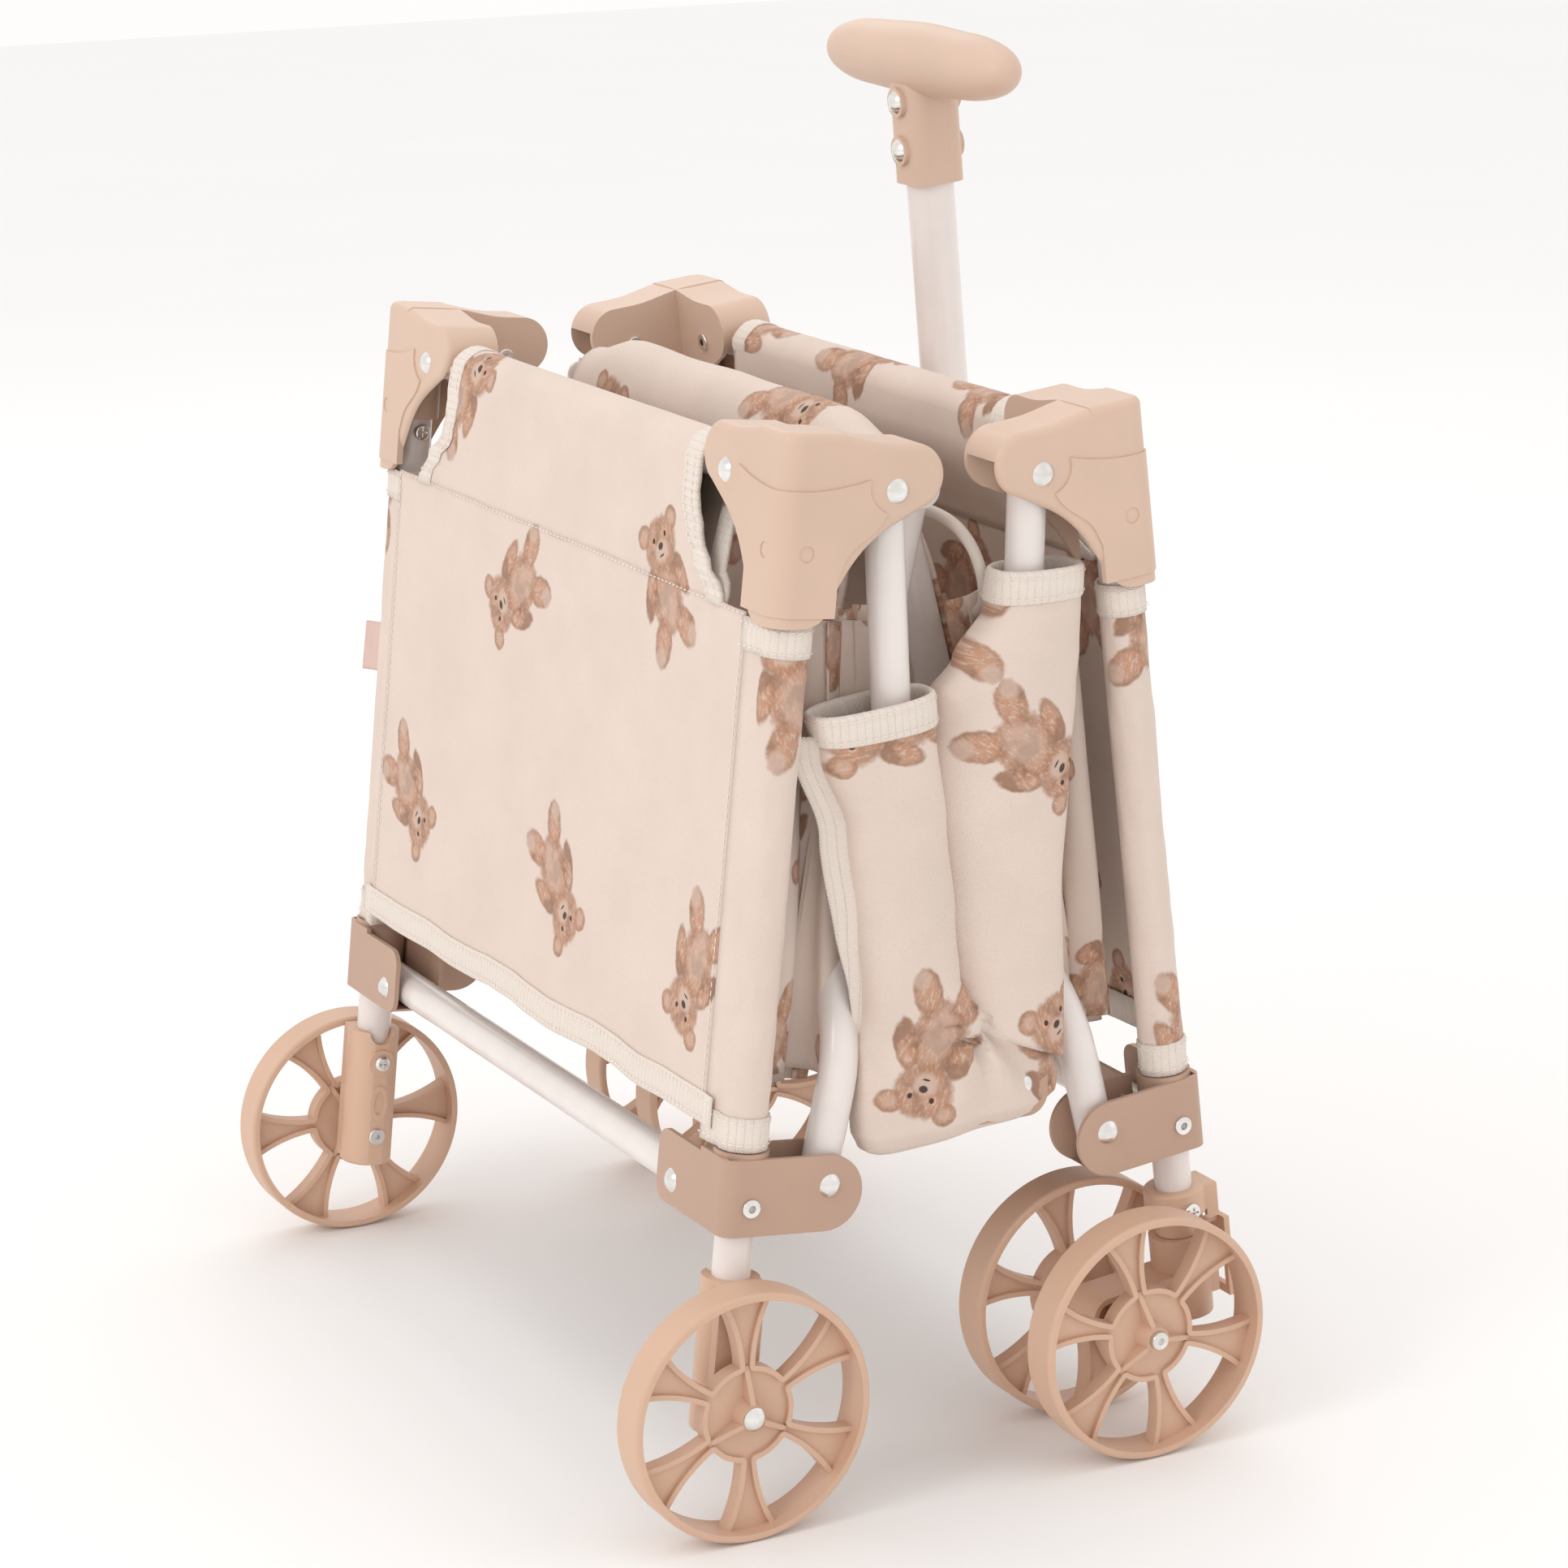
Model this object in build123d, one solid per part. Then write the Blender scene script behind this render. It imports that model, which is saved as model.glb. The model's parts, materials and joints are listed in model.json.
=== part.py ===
"""Small folding pull wagon for a child, standing folded with its two end frames leaning together.

Row frame: +X is the way the wagon is pulled, +Z is up, +Y is the wagon's left. The origin is on the
floor, midway between the two end frames. Each end frame is drawn in its own frame first: u runs from
the leg's axis into the wagon, h runs up the leg from the rivet of the lower bracket.
"""

from build123d import *
import math
import os

os.makedirs("parts", exist_ok=True)

# ---- Overall sizes, in mm and degrees ----
track = 373.0  # leg axis to leg axis, across the wagon
fold_lean = 6.25  # lean of each end frame when folded
half_spread = 101.9  # middle of the wagon to a leg, at the bracket rivet, folded
rivet_height = 134.8  # bracket rivet above the floor, folded
cap_rise = 290.5  # bracket rivet to cap rivets, up the leg
floor_rail = 280.0  # lower side rail, pivot to pivot
link_pitch = 48.0  # between the two pivots of the upper folding link

# ---- Tubes ----
tube_r = 8.0
tube_wall = 1.2
fit_gap = 0.05  # radial clearance of every pin, rivet and axle
seat_gap = 0.1  # radial clearance of a tube in a moulded socket
cap_reach = 37.5  # leg axis to the rivets of a cap arm
bracket_reach = 35.8  # leg axis to the rivets of a bracket arm
rail_rise = 7.0  # lower rail pivot above the bracket rivet
cross_drop = 2.0  # lower cross tube below the bracket rivet
leg_top = 14.0  # leg above the cap rivets
rail_stub = 12.0  # upper rail past its cap pivot
link_stub = 7.0  # upper rail past its link pivot
low_stub = 10.0  # lower rail past its bracket pivot
mid_stub = 8.0  # lower rail past the middle hinge
bend_start = 50.0  # straight length of a lower rail before it bends inwards
bend_run = 62.0
bend_radius = 50.0
rear_shift = 36.5  # how far a rear lower rail bends inwards
front_shift = 54.5
mid_tube_r = 5.0
mid_tube_wall = 1.0
mid_tube_over = 3.0  # middle tube past the outer rail

# ---- Corner caps and brackets ----
cap_half = 13.0
cap_wall = 2.4
cap_top = 18.5  # arm top above the rivets
cap_crown = 3.4  # how far the corner rises above the arms
cap_end = 58.5  # leg axis to the end of an arm
cap_drop = 54.8  # lower tip below the rivets
cap_round = 8.0
cap_edge = 3.4
cap_taper = 43.8  # where the tip starts to narrow, below the rivets
emboss = 0.7
dimple_r = 3.3
bracket_half = 12.0
bracket_wall = 2.2
bracket_low = 12.0  # bracket bottom below its leg rivet
bracket_top = 20.0
bracket_side_end = 50.5
bracket_cross_end = 48.5

# ---- Fasteners ----
rivet_r = 2.5
rivet_head_r = 5.0
rivet_head = 2.4
rivet_tail_r = 4.0
rivet_tail = 1.4
rivet_bore = 1.6
screw_r = 2.0
axle_r = 2.0

# ---- Wheels ----
wheel_r = 53.0
wheel_w = 18.0
rim_wall = 3.4
web = 3.0
rib_w = 2.2
rib_h = 7.0  # whole thickness of the ribs round each window
hub_r = 20.5
waist = 6.6  # spoke width at the hub
flare = 22.0  # spoke width at the rim
spokes = 6
boss_r = 5.2
boss_base_r = 7.0
boss_over = 0.3  # wheel boss past the rim, each side
rear_wheel_out = 21.3  # leg axis to the middle of a rear wheel
side_clear = 0.3  # between a turning wheel and its neighbour

# ---- Rear wheel holders ----
holder_r = 12.0
holder_top = -31.5
holder_foot = -97.0
holder_floor = 5.0
holder_bolt = -46.0

# ---- Front casters ----
caster_trail = 27.5  # leg axis at the bracket rivet to the caster axle, towards the middle
twin_half = 28.6  # caster axle's middle to each wheel's middle
collar_r = 13.0
collar_top = -31.0
collar_low = -47.0
neck_r = 9.3
neck_low = -52.0
pin_r = 3.0
barrel_r = 12.5
barrel_top = -52.4
barrel_low = -88.5
fork_half = 10.5
fork_height = 20.0
fork_end = 14.0  # fork past the axle
lock_pin_r = 1.6
lock_reach = 11.3
lock_travel = 3.0

# ---- Handle ----
handle_r = 10.35
handle_wall = 1.4
handle_lean = 4.36  # lean back from upright, folded
handle_reach = 21.2  # handle pivot ahead of the leg's bracket rivet
handle_height = 132.0  # handle pivot above the floor
grip_height = 432.5  # handle pivot to the grip's axis
grip_length = 153.0
grip_r = 15.6
grip_end_r = 11.2
grip_seam = 3.4  # seam plane ahead of the handle's axis
stem_half = 12.6
stem_drop = 53.0  # grip axis to the foot of the stem
stem_rivets = (-17.0, -38.0)
grip_boss_r = 6.4
grip_boss = 2.2
handle_pin_r = 3.0
handle_clamp_r = 10.0
ear_gap = 0.6
ear_wall = 3.0

# ---- Fabric ----
cloth = 1.4
panel_face = 8.3  # leg axis to the near side of a panel
panel_cloth = 2.2
sleeve_r = 9.7
panel_foot = 30.0
sleeve_foot = 23.5
sleeve_top = 230.0
notch_top = 121.0  # half length of the sleeve on a top tube
notch_side = 172.0
notch_foot = 238.0
rail_sleeve_w = 51.0
rail_sleeve_t = 25.0
rear_mouth = 333.0
front_mouth = 380.0
rail_sleeve_low_w = 45.0
sleeve_low = 250.0
rear_flap_low = 180.0
front_flap_low = 193.0  # clears the end of the link while its slot slides past the rivet
rear_floor_half = 152.0
front_floor_half = 136.0
floor_lift = 8.3
floor_cloth = 4.5
floor_from = 32.0
floor_to = 268.0
wall_near = -2.0
wall_far = 20.0
wall_out = 10.8  # side wall's outer face, from the legs' plane inwards
wall_in = 27.0
loop_r = 2.5

# ---- What follows from them ----
leg_y = track / 2.0
lean = math.radians(fold_lean)
shaft_hole = rivet_r + fit_gap


def row_point(u, h):
    """Row x and z of a point of the rear end frame."""
    x = -half_spread + u * math.cos(lean) + h * math.sin(lean)
    z = rivet_height - u * math.sin(lean) + h * math.cos(lean)
    return x, z


low_x, low_z = row_point(bracket_reach, rail_rise)
cap_x, cap_z = row_point(cap_reach, cap_rise)
mid_z = low_z + math.sqrt(floor_rail**2 - low_x**2)
floor_angle = math.atan2(mid_z - low_z, -low_x)
open_length = 2 * (bracket_reach + floor_rail)
side_rail = (open_length - 2 * cap_reach - link_pitch) / 2
link_x = -link_pitch / 2
link_z = cap_z - math.sqrt(side_rail**2 - (link_x - cap_x) ** 2)
hang_angle = math.atan2(cap_z - link_z, link_x - cap_x)
axle_h = -(rivet_height - wheel_r) / math.cos(lean)
caster_x = half_spread - caster_trail


# ---- Helpers ----
def save(name, *solids):
    export_step(Compound(children=list(solids)), f"parts/{name}.step")


def rear(shape):
    return Location((-half_spread, 0, rivet_height), (0, fold_lean, 0)) * shape


def flip_x(shape):
    return mirror(shape, about=Plane.YZ)


def flip_y(shape):
    return mirror(shape, about=Plane.XZ)


def front(shape):
    return flip_x(rear(shape))


def along_y(radius, y0, y1, u=0.0, h=0.0):
    """Cylinder along Y from y0 to y1."""
    rod = Cylinder(radius, abs(y1 - y0), align=(Align.CENTER, Align.CENTER, Align.MIN))
    return Location((u, min(y0, y1), h), (-90, 0, 0)) * rod


def along_u(radius, u0, u1, y=0.0, h=0.0):
    rod = Cylinder(radius, abs(u1 - u0), align=(Align.CENTER, Align.CENTER, Align.MIN))
    return Location((min(u0, u1), y, h), (0, 90, 0)) * rod


def along_h(radius, h0, h1, u=0.0, y=0.0):
    rod = Cylinder(radius, h1 - h0, align=(Align.CENTER, Align.CENTER, Align.MIN))
    return Location((u, y, h0)) * rod


def block(u0, u1, y0, y1, h0, h1):
    box = Box(u1 - u0, y1 - y0, h1 - h0, align=(Align.MIN, Align.MIN, Align.MIN))
    return Location((u0, y0, h0)) * box


def rivet(grip):
    """Tubular rivet on Z: domed head above 0, shank below, rolled hollow tail at the far end."""
    bulge = (rivet_head_r**2 + rivet_head**2) / (2 * rivet_head)
    dome = Sphere(bulge)
    dome = Location((0, 0, rivet_head - bulge)) * dome
    dome = dome & Cylinder(rivet_head_r, rivet_head, align=(Align.CENTER, Align.CENTER, Align.MIN))
    shank = along_h(rivet_r, -grip - rivet_tail, 0)
    tail = along_h(rivet_tail_r, -grip - rivet_tail, -grip)
    tail = fillet(tail.edges().group_by(Axis.Z)[0], 0.6)
    return dome + shank + tail - along_h(rivet_bore, -grip - rivet_tail, -grip + 3)


def turned(shape, place, direction):
    """Move a fastener drawn on Z so that its head points along direction."""
    return Plane(origin=place, z_dir=direction).location * shape


def ring(outer, inner, h0, h1, u=0.0, y=0.0):
    return along_h(outer, h0, h1, u, y) - along_h(inner, h0 - 1, h1 + 1, u, y)


# ---- End frame tubes ----
def leg(foot):
    """Right leg, open at its foot, drilled for its rivets and screws."""
    top = cap_rise + leg_top
    tube = ring(tube_r, tube_r - tube_wall, foot, top, 0, -leg_y)
    for hole, h in leg_holes(foot):
        tube -= along_y(hole, -leg_y - 10, -leg_y + 10, 0, h)
    return tube


def leg_holes(foot):
    common = [(shaft_hole, 0.0), (screw_r + fit_gap, cap_screw_h)]
    if foot < rear_leg_foot + 1:
        return common + [(screw_r + fit_gap, holder_bolt), (axle_r + fit_gap, axle_h)]
    return common + [(screw_r + fit_gap, collar_screw_h)]


cap_screw_h = cap_rise - 36.0
collar_screw_h = (collar_top + collar_low) / 2
rear_leg_foot = holder_foot + holder_floor
front_leg_foot = neck_low + 2.0


def across_tube(h, half, rivet_y):
    """Cross tube between the two caps or the two brackets."""
    tube = along_y(tube_r, -half, half, 0, h) - along_y(tube_r - tube_wall, -half - 1, half + 1, 0, h)
    for side in (-1, 1):
        tube -= along_u(shaft_hole, -10, 10, side * rivet_y, h)
    return tube


top_tube = across_tube(cap_rise, leg_y - tube_r - 0.8, leg_y - cap_reach)
cross_tube = across_tube(-cross_drop, leg_y - bracket_half - rivet_head - 0.6, leg_y - bracket_reach)


# ---- Corner cap ----
def cap_arm_outline():
    """Side face of a cap arm above the tapered tip, in (u, h) from the cap rivets."""
    crown = cap_top + cap_crown
    sweep_edge = Spline(
        (cap_half, -cap_taper), (18.5, -33.8), (30.0, -19.5), (50.0, -6.8), tangents=((0.62, 1), (1, 0.62))
    )
    nose = ThreePointArc((50.0, -6.8), (cap_end, 6.5), (47.0, cap_top))
    top = Spline(
        (47.0, cap_top), (30.0, cap_top + 0.3), (16.0, crown - 0.8), (0.0, crown), tangents=((-1, 0), (-1, 0))
    )
    rest = Polyline((0.0, crown), (-cap_half, crown), (-cap_half, -cap_taper), (cap_half, -cap_taper))
    return make_face([sweep_edge, nose, top, rest])


def cap_tip_outline():
    """Side face of the tip round the leg, which narrows from both sides."""
    tip = -cap_drop
    edge = Spline((-2.0, tip), (9.0, tip + 4.2), (cap_half, -cap_taper), tangents=((1, 0.02), (0.62, 1)))
    rest = Polyline((cap_half, -cap_taper), (-cap_half, -cap_taper), (-cap_half, tip), (-2.0, tip))
    return make_face([edge, rest])


def cap_hollow_outline():
    """Hollow of a cap arm: open below, closed by a wall above and at the end."""
    side = cap_half - cap_wall
    roof = cap_top - cap_wall
    path = Polyline(
        (47.0, roof), (24.0, roof), (6.0, roof + cap_crown), (-side, roof + cap_crown), (-side, -90.0), (cap_end - cap_wall, -90.0)
    )
    end = Line((cap_end - cap_wall, -90.0), (cap_end - cap_wall, 6.5))
    nose = ThreePointArc((cap_end - cap_wall, 6.5), (53.2, 13.2), (47.0, roof))
    return make_face([path, end, nose])


def cap_emboss_outline():
    """Raised lower field of a cap face, with its waved upper edge."""
    waved = Spline((-cap_half - emboss, -0.6), (2.0, -0.4), (14.9, 1.6), (25.0, 4.4))
    notch = Spline((25.0, 4.4), (25.6, -2.4), (29.0, -6.6), (33.2, -8.8))
    lower = Spline((33.2, -8.8), (28.4, -16.0), (17.6, -25.7), (13.0, -36.0), (5.0, -45.6), (-5.0, -49.8))
    close = Polyline((-5.0, -49.8), (-cap_half - emboss, -50.4), (-cap_half - emboss, -0.6))
    return make_face([waved, notch, lower, close])


def side_prism(outline, y0, y1):
    """An outline in (u, h from the cap rivets) drawn out from y0 to y1."""
    plane = Plane(origin=(0, y1, cap_rise), x_dir=(1, 0, 0), z_dir=(0, -1, 0))
    return plane * extrude(outline, y1 - y0)


def cross_prism(outline, u0, u1):
    """The same outline turned a quarter round the leg, its arm running to +Y."""
    return Location((0, -leg_y, 0), (0, 0, 90)) * Location((0, leg_y, 0)) * side_prism(
        outline, -leg_y - u1, -leg_y - u0
    )


def both_arms(outline, half):
    return side_prism(outline, -leg_y - half, -leg_y + half) + cross_prism(outline, -half, half)


def corner_edge(shape):
    """The upright outer edge at the leg."""
    upright = shape.edges().filter_by(Axis.Z)
    return upright.sort_by(lambda edge: edge.center().X + edge.center().Y)[0]


def soft_arm():
    """The side arm with the edges of its outer face rounded."""
    arm = side_prism(cap_arm_outline(), -leg_y - cap_half, -leg_y + cap_half)
    outer = arm.edges().group_by(Axis.Y)[0]
    free = [edge for edge in outer if edge.center().X > 1 - cap_half and edge.center().Z > cap_rise + 1 - cap_taper]
    return fillet(free, cap_edge)


def cap_mould():
    """Plan of both arms from the tip to the crown, rounded at the outer corner and round its top."""
    low, high, reach = cap_rise - cap_drop, cap_rise + cap_top + cap_crown, cap_end + 2
    plan = block(-cap_half, reach, -leg_y - cap_half, -leg_y + cap_half, low, high)
    plan += block(-cap_half, cap_half, -leg_y - cap_half, -leg_y + reach, low, high)
    plan = fillet(corner_edge(plan), cap_round)
    roof = plan.edges().group_by(Axis.Z)[-1]
    rim = [edge for edge in roof if min(edge.center().X + cap_half, edge.center().Y + leg_y + cap_half) < cap_round / 2]
    return fillet(rim, cap_edge)


def corner_cap():
    """Right rear cap: two hollow arms, a socket for the leg and bosses at the rail rivet."""
    arm = soft_arm()
    about = Plane(origin=(0, -leg_y, 0), z_dir=(1, -1, 0))
    shell = (arm + mirror(arm, about)) & cap_mould()
    tip = side_prism(cap_tip_outline(), -leg_y - cap_half, -leg_y + cap_half)
    shell += tip & cross_prism(cap_tip_outline(), -cap_half, cap_half) & cap_mould()
    field = both_arms(cap_emboss_outline(), cap_half + emboss)
    field = fillet(corner_edge(field), cap_round + emboss)
    keep = block(-30, 90, -leg_y - 30, -leg_y - cap_half + 4, 0, 400)
    keep += block(-30, -cap_half + 4, -leg_y - 30, -leg_y + 90, 0, 400)
    shell = shell + (field & keep)
    hollow = both_arms(cap_hollow_outline(), cap_half - cap_wall)
    socket = ring(cap_half - cap_wall + 0.2, tube_r + seat_gap, cap_screw_h + 6, cap_rise + cap_top, 0, -leg_y)
    shell = shell - hollow + (socket & shell)
    for y in (-leg_y - cap_half + cap_wall, -leg_y + cap_half - cap_wall):
        step = math.copysign(cap_half - cap_wall - tube_r - 0.3, -leg_y - y)
        shell += along_y(6.0, y, y + step, cap_reach, cap_rise)
    inner = cap_half - cap_wall
    shell -= block(cap_reach, 80, -leg_y - inner, -leg_y + inner, cap_rise - 60, cap_rise + tube_r + 1)
    shell -= along_y(tube_r + seat_gap, -leg_y + tube_r + 0.6, -leg_y + 80, 0, cap_rise)
    shell -= along_y(shaft_hole, -leg_y - 20, -leg_y + 20, cap_reach, cap_rise)
    shell -= along_u(shaft_hole, -20, 20, -leg_y + cap_reach, cap_rise)
    shell -= along_y(screw_r + fit_gap, -leg_y - cap_half + 0.6, -leg_y, 0, cap_screw_h)
    shell -= along_y(dimple_r, -leg_y - 20, -leg_y - cap_half - emboss + 0.4, -1.0, cap_rise - 25)
    shell -= along_u(dimple_r, -20, -cap_half - emboss + 0.4, -leg_y - 2.0, cap_rise - 25)
    return shell


# ---- Lower bracket ----
def bracket_side_outline():
    """Side wall of the arm that carries the lower rail."""
    r = (bracket_top + bracket_low) / 2
    mid = (bracket_top - bracket_low) / 2
    nose_u = bracket_side_end - r
    body = Polyline(
        (nose_u, bracket_top), (-bracket_half, bracket_top), (-bracket_half, -bracket_low), (nose_u, -bracket_low)
    )
    nose = ThreePointArc((nose_u, -bracket_low), (bracket_side_end, mid), (nose_u, bracket_top))
    return make_face([body, nose])


def flat_prism(outline, y0, y1):
    plane = Plane(origin=(0, y1, 0), x_dir=(1, 0, 0), z_dir=(0, -1, 0))
    return plane * extrude(outline, y1 - y0)


def lower_bracket():
    """Right rear bracket: two channels open above, a collar for the leg, a rib before the rail."""
    inner = bracket_half - bracket_wall
    arm = flat_prism(bracket_side_outline(), -leg_y - bracket_half, -leg_y + bracket_half)
    cross = block(-bracket_half, bracket_half, -leg_y - bracket_half, -leg_y + bracket_cross_end, -bracket_low, bracket_top - 2)
    cross = fillet(cross.edges().filter_by(Axis.X).group_by(Axis.Y)[-1], 7.0)
    body = arm + cross
    body = fillet(corner_edge(body), 6.0)
    floor_top = -bracket_low + bracket_wall
    body -= block(-inner, 80, -leg_y - inner, -leg_y + inner, floor_top, 60)
    body -= block(-inner, inner, -leg_y - inner, -leg_y + 80, floor_top, 60)
    body += ring(bracket_half - 0.6, tube_r + seat_gap, -bracket_low, bracket_top + 2, 0, -leg_y)
    rib = block(14.5, 16.7, -leg_y - inner - 0.2, -leg_y + inner + 0.2, -bracket_low, bracket_top - 8)
    body += rib
    body -= along_h(tube_r + seat_gap, -40, 60, 0, -leg_y)
    body -= along_y(tube_r + seat_gap, -leg_y + tube_r + 0.6, -leg_y + 80, 0, -cross_drop)
    body -= along_y(shaft_hole, -leg_y - 20, -leg_y + 20, 0, 0)
    body -= along_y(shaft_hole, -leg_y - 20, -leg_y + 20, bracket_reach, rail_rise)
    body -= along_u(shaft_hole, -20, 20, -leg_y + bracket_reach, -cross_drop)
    return body


# ---- Fasteners of one end frame, right side ----
def screw(length):
    """Pan head screw on Z with a cross recess, its shank below 0."""
    head = fillet(along_h(3.8, 0, 2.4).edges().group_by(Axis.Z)[-1], 1.6)
    cross_cut = block(-2.3, 2.3, -0.45, 0.45, 1.2, 3) + block(-0.45, 0.45, -2.3, 2.3, 1.2, 3)
    return head - cross_cut + along_h(screw_r, -length, 0)


def frame_rivets():
    y_out = -leg_y - cap_half
    cap_grip = 2 * cap_half
    low_grip = 2 * bracket_half
    out, back = (0, -1, 0), (-1, 0, 0)
    return [
        turned(rivet(cap_grip), (cap_reach, y_out, cap_rise), out),
        turned(rivet(cap_grip), (-cap_half, -leg_y + cap_reach, cap_rise), back),
        turned(rivet(low_grip), (0, -leg_y + bracket_half, 0), (0, 1, 0)),
        turned(rivet(low_grip), (bracket_reach, -leg_y - bracket_half, rail_rise), out),
        turned(rivet(low_grip), (-bracket_half, -leg_y + bracket_reach, -cross_drop), back),
        turned(screw(tube_r + cap_half - 1.0), (0, -leg_y + tube_r, cap_screw_h), (0, 1, 0)),
    ]


# ---- Wheel, drawn with its axle on Y ----
def window_outline():
    """One window between two spokes, its middle on the local X axis."""
    half_step = math.pi / spokes

    def side(radius, width, sign):
        angle = sign * (half_step - math.asin(width / 2 / radius))
        return radius * math.cos(angle), radius * math.sin(angle)

    rim_in = wheel_r - rim_wall
    low_a, low_b = side(hub_r, waist, 1), side(hub_r, waist, -1)
    waist_a, waist_b = side(33.0, waist + 3.4, 1), side(33.0, waist + 3.4, -1)
    top_a, top_b = side(rim_in, flare, 1), side(rim_in, flare, -1)
    edges = [
        ThreePointArc(low_a, (hub_r, 0), low_b),
        ThreePointArc(low_b, waist_b, top_b),
        ThreePointArc(top_b, (rim_in, 0), top_a),
        ThreePointArc(top_a, waist_a, low_a),
    ]
    return make_face(edges)


def disc(radius, thickness):
    return Cylinder(radius, thickness)


def slab(face, thickness):
    return Pos(0, 0, -thickness / 2) * extrude(face, thickness)


def wheel(angle):
    """Wheel on Z: rim, web with six windows, ribs round the windows, boss with three fins a side."""
    rim = fillet(disc(wheel_r, wheel_w).edges(), 1.6) - disc(wheel_r - rim_wall, wheel_w + 2)
    outline = window_outline()
    turns = [Rotation(0, 0, 360 / spokes * (k + 0.5) + 90) for k in range(spokes)]
    plan = Circle(wheel_r - rim_wall + 0.2) - [turn * outline for turn in turns]
    ribs = [turn * offset(outline, rib_w) - turn * outline for turn in turns]
    body = rim + slab(plan, web)
    for rib in ribs:
        body += slab(rib & Circle(wheel_r - rim_wall + 0.2), rib_h)
    half = wheel_w / 2 + boss_over
    cone = Cone(boss_base_r, boss_r, half, align=(Align.CENTER, Align.CENTER, Align.MIN))
    body += cone + mirror(cone, about=Plane.XY)
    fin = Polyline((1, 1), (hub_r, 1), (hub_r, web / 2 + 0.6), (boss_r, half - 1.0), (1, half - 1.0), (1, 1))
    fin = extrude(Plane.XZ * make_face(fin), 1.1, both=True)
    for k in range(3):
        arm = Rotation(0, 0, 90 + 120 * k) * fin
        body += arm + mirror(arm, about=Plane.XY)
    body -= disc(axle_r + fit_gap, 3 * wheel_w)
    return Rotation(0, 0, angle) * body


def place_wheel(angle, x, y):
    return Location((x, y, wheel_r), (90, 0, 0)) * wheel(angle)


# ---- Rear wheel holder and axle, right side ----
def wheel_holder():
    outer = rear_wheel_out - wheel_w / 2 - boss_over - side_clear
    body = along_h(holder_r, holder_foot, holder_top, 0, -leg_y)
    body += block(-holder_r + 2, holder_r - 2, -leg_y - outer, -leg_y, holder_foot, holder_top)
    body = body & block(-holder_r, holder_r, -leg_y - outer, -leg_y + holder_r - 0.5, holder_foot, holder_top)
    body = fillet(body.edges().group_by(Axis.Z)[0], 2.0)
    body -= along_h(tube_r + seat_gap, rear_leg_foot, holder_top + 1, 0, -leg_y)
    body -= along_y(6.0, -leg_y + 4, -leg_y + 20, 0, holder_top)
    face = -leg_y + holder_r - 0.5
    body += along_y(6.2, face - 1.5, face + 1.0, 0, holder_bolt) - along_h(tube_r + seat_gap, -99, 0, 0, -leg_y)
    bump = Location((0, face - 1.0, holder_bolt - 20), (90, 0, 0)) * extrude(Ellipse(4.4, 8.6), 1.6, both=True)
    body += bump - Location((0, face, holder_bolt - 20), (90, 0, 0)) * extrude(Ellipse(2.4, 5.6), 3.0, both=True)
    body -= along_y(screw_r + fit_gap, -leg_y - 20, -leg_y + 20, 0, holder_bolt)
    body -= along_y(axle_r + fit_gap, -leg_y - 20, -leg_y + 20, 0, axle_h)
    return body, face, outer


holder, holder_face, holder_out = wheel_holder()


def holder_screw():
    body = screw(2 * tube_r)
    return turned(body, (0, holder_face + 1.0, holder_bolt), (0, 1, 0))


def rear_axle():
    """Axle pin: domed head outside the wheel, rolled tail inside the holder."""
    out = rear_wheel_out + wheel_w / 2 + boss_over + side_clear
    tip = holder_face + leg_y
    pin = along_h(axle_r, -out - tip - rivet_tail, 0)
    bulge = (rivet_head_r**2 + rivet_head**2) / (2 * rivet_head)
    dome = Pos(0, 0, rivet_head - bulge) * Sphere(bulge)
    dome = dome & Cylinder(rivet_head_r, rivet_head, align=(Align.CENTER, Align.CENTER, Align.MIN))
    tail = fillet(along_h(rivet_tail_r, -out - tip - rivet_tail, -out - tip).edges().group_by(Axis.Z)[0], 0.6)
    pin = pin + dome + tail - along_h(1.2, -out - tip - rivet_tail, -out - tip + 2)
    return turned(pin, (0, -leg_y - out, axle_h), (0, -1, 0))


# ---- Side rails ----
def straight_rail():
    """Right rear upper rail, hanging from its cap pivot to the folding link."""
    rail = along_h(tube_r, -rail_stub, side_rail + link_stub)
    rail -= along_h(tube_r - tube_wall, -rail_stub - 1, side_rail + link_stub + 1)
    for h in (0.0, side_rail):
        rail -= along_y(shaft_hole, -20, 20, 0, h)
    down = (math.cos(hang_angle), 0, -math.sin(hang_angle))
    return Plane(origin=(cap_x, -leg_y, cap_z), x_dir=(0, 1, 0), z_dir=down).location * Rotation(0, 0, 90) * rail


def bent_rail(shift):
    """Right lower rail in the rear half, bent inwards by shift and rising to the middle hinge."""
    path = FilletPolyline(
        (-low_stub, 0), (bend_start, 0), (bend_start + bend_run, shift), (floor_rail + mid_stub, shift), radius=bend_radius
    )
    start = Plane(origin=(-low_stub, 0, 0), z_dir=(1, 0, 0))
    rail = sweep(start * Circle(tube_r), path=path) - sweep(start * Circle(tube_r - tube_wall), path=path)
    rail -= Location((0, 0, 0), (90, 0, 0)) * Cylinder(shaft_hole, 40)
    rail -= Location((floor_rail, shift, 0), (90, 0, 0)) * Cylinder(mid_tube_r + fit_gap, 40)
    up = (math.cos(floor_angle), 0, math.sin(floor_angle))
    normal = (-math.sin(floor_angle), 0, math.cos(floor_angle))
    return Plane(origin=(low_x, -leg_y, low_z), x_dir=up, z_dir=normal).location * rail


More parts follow.
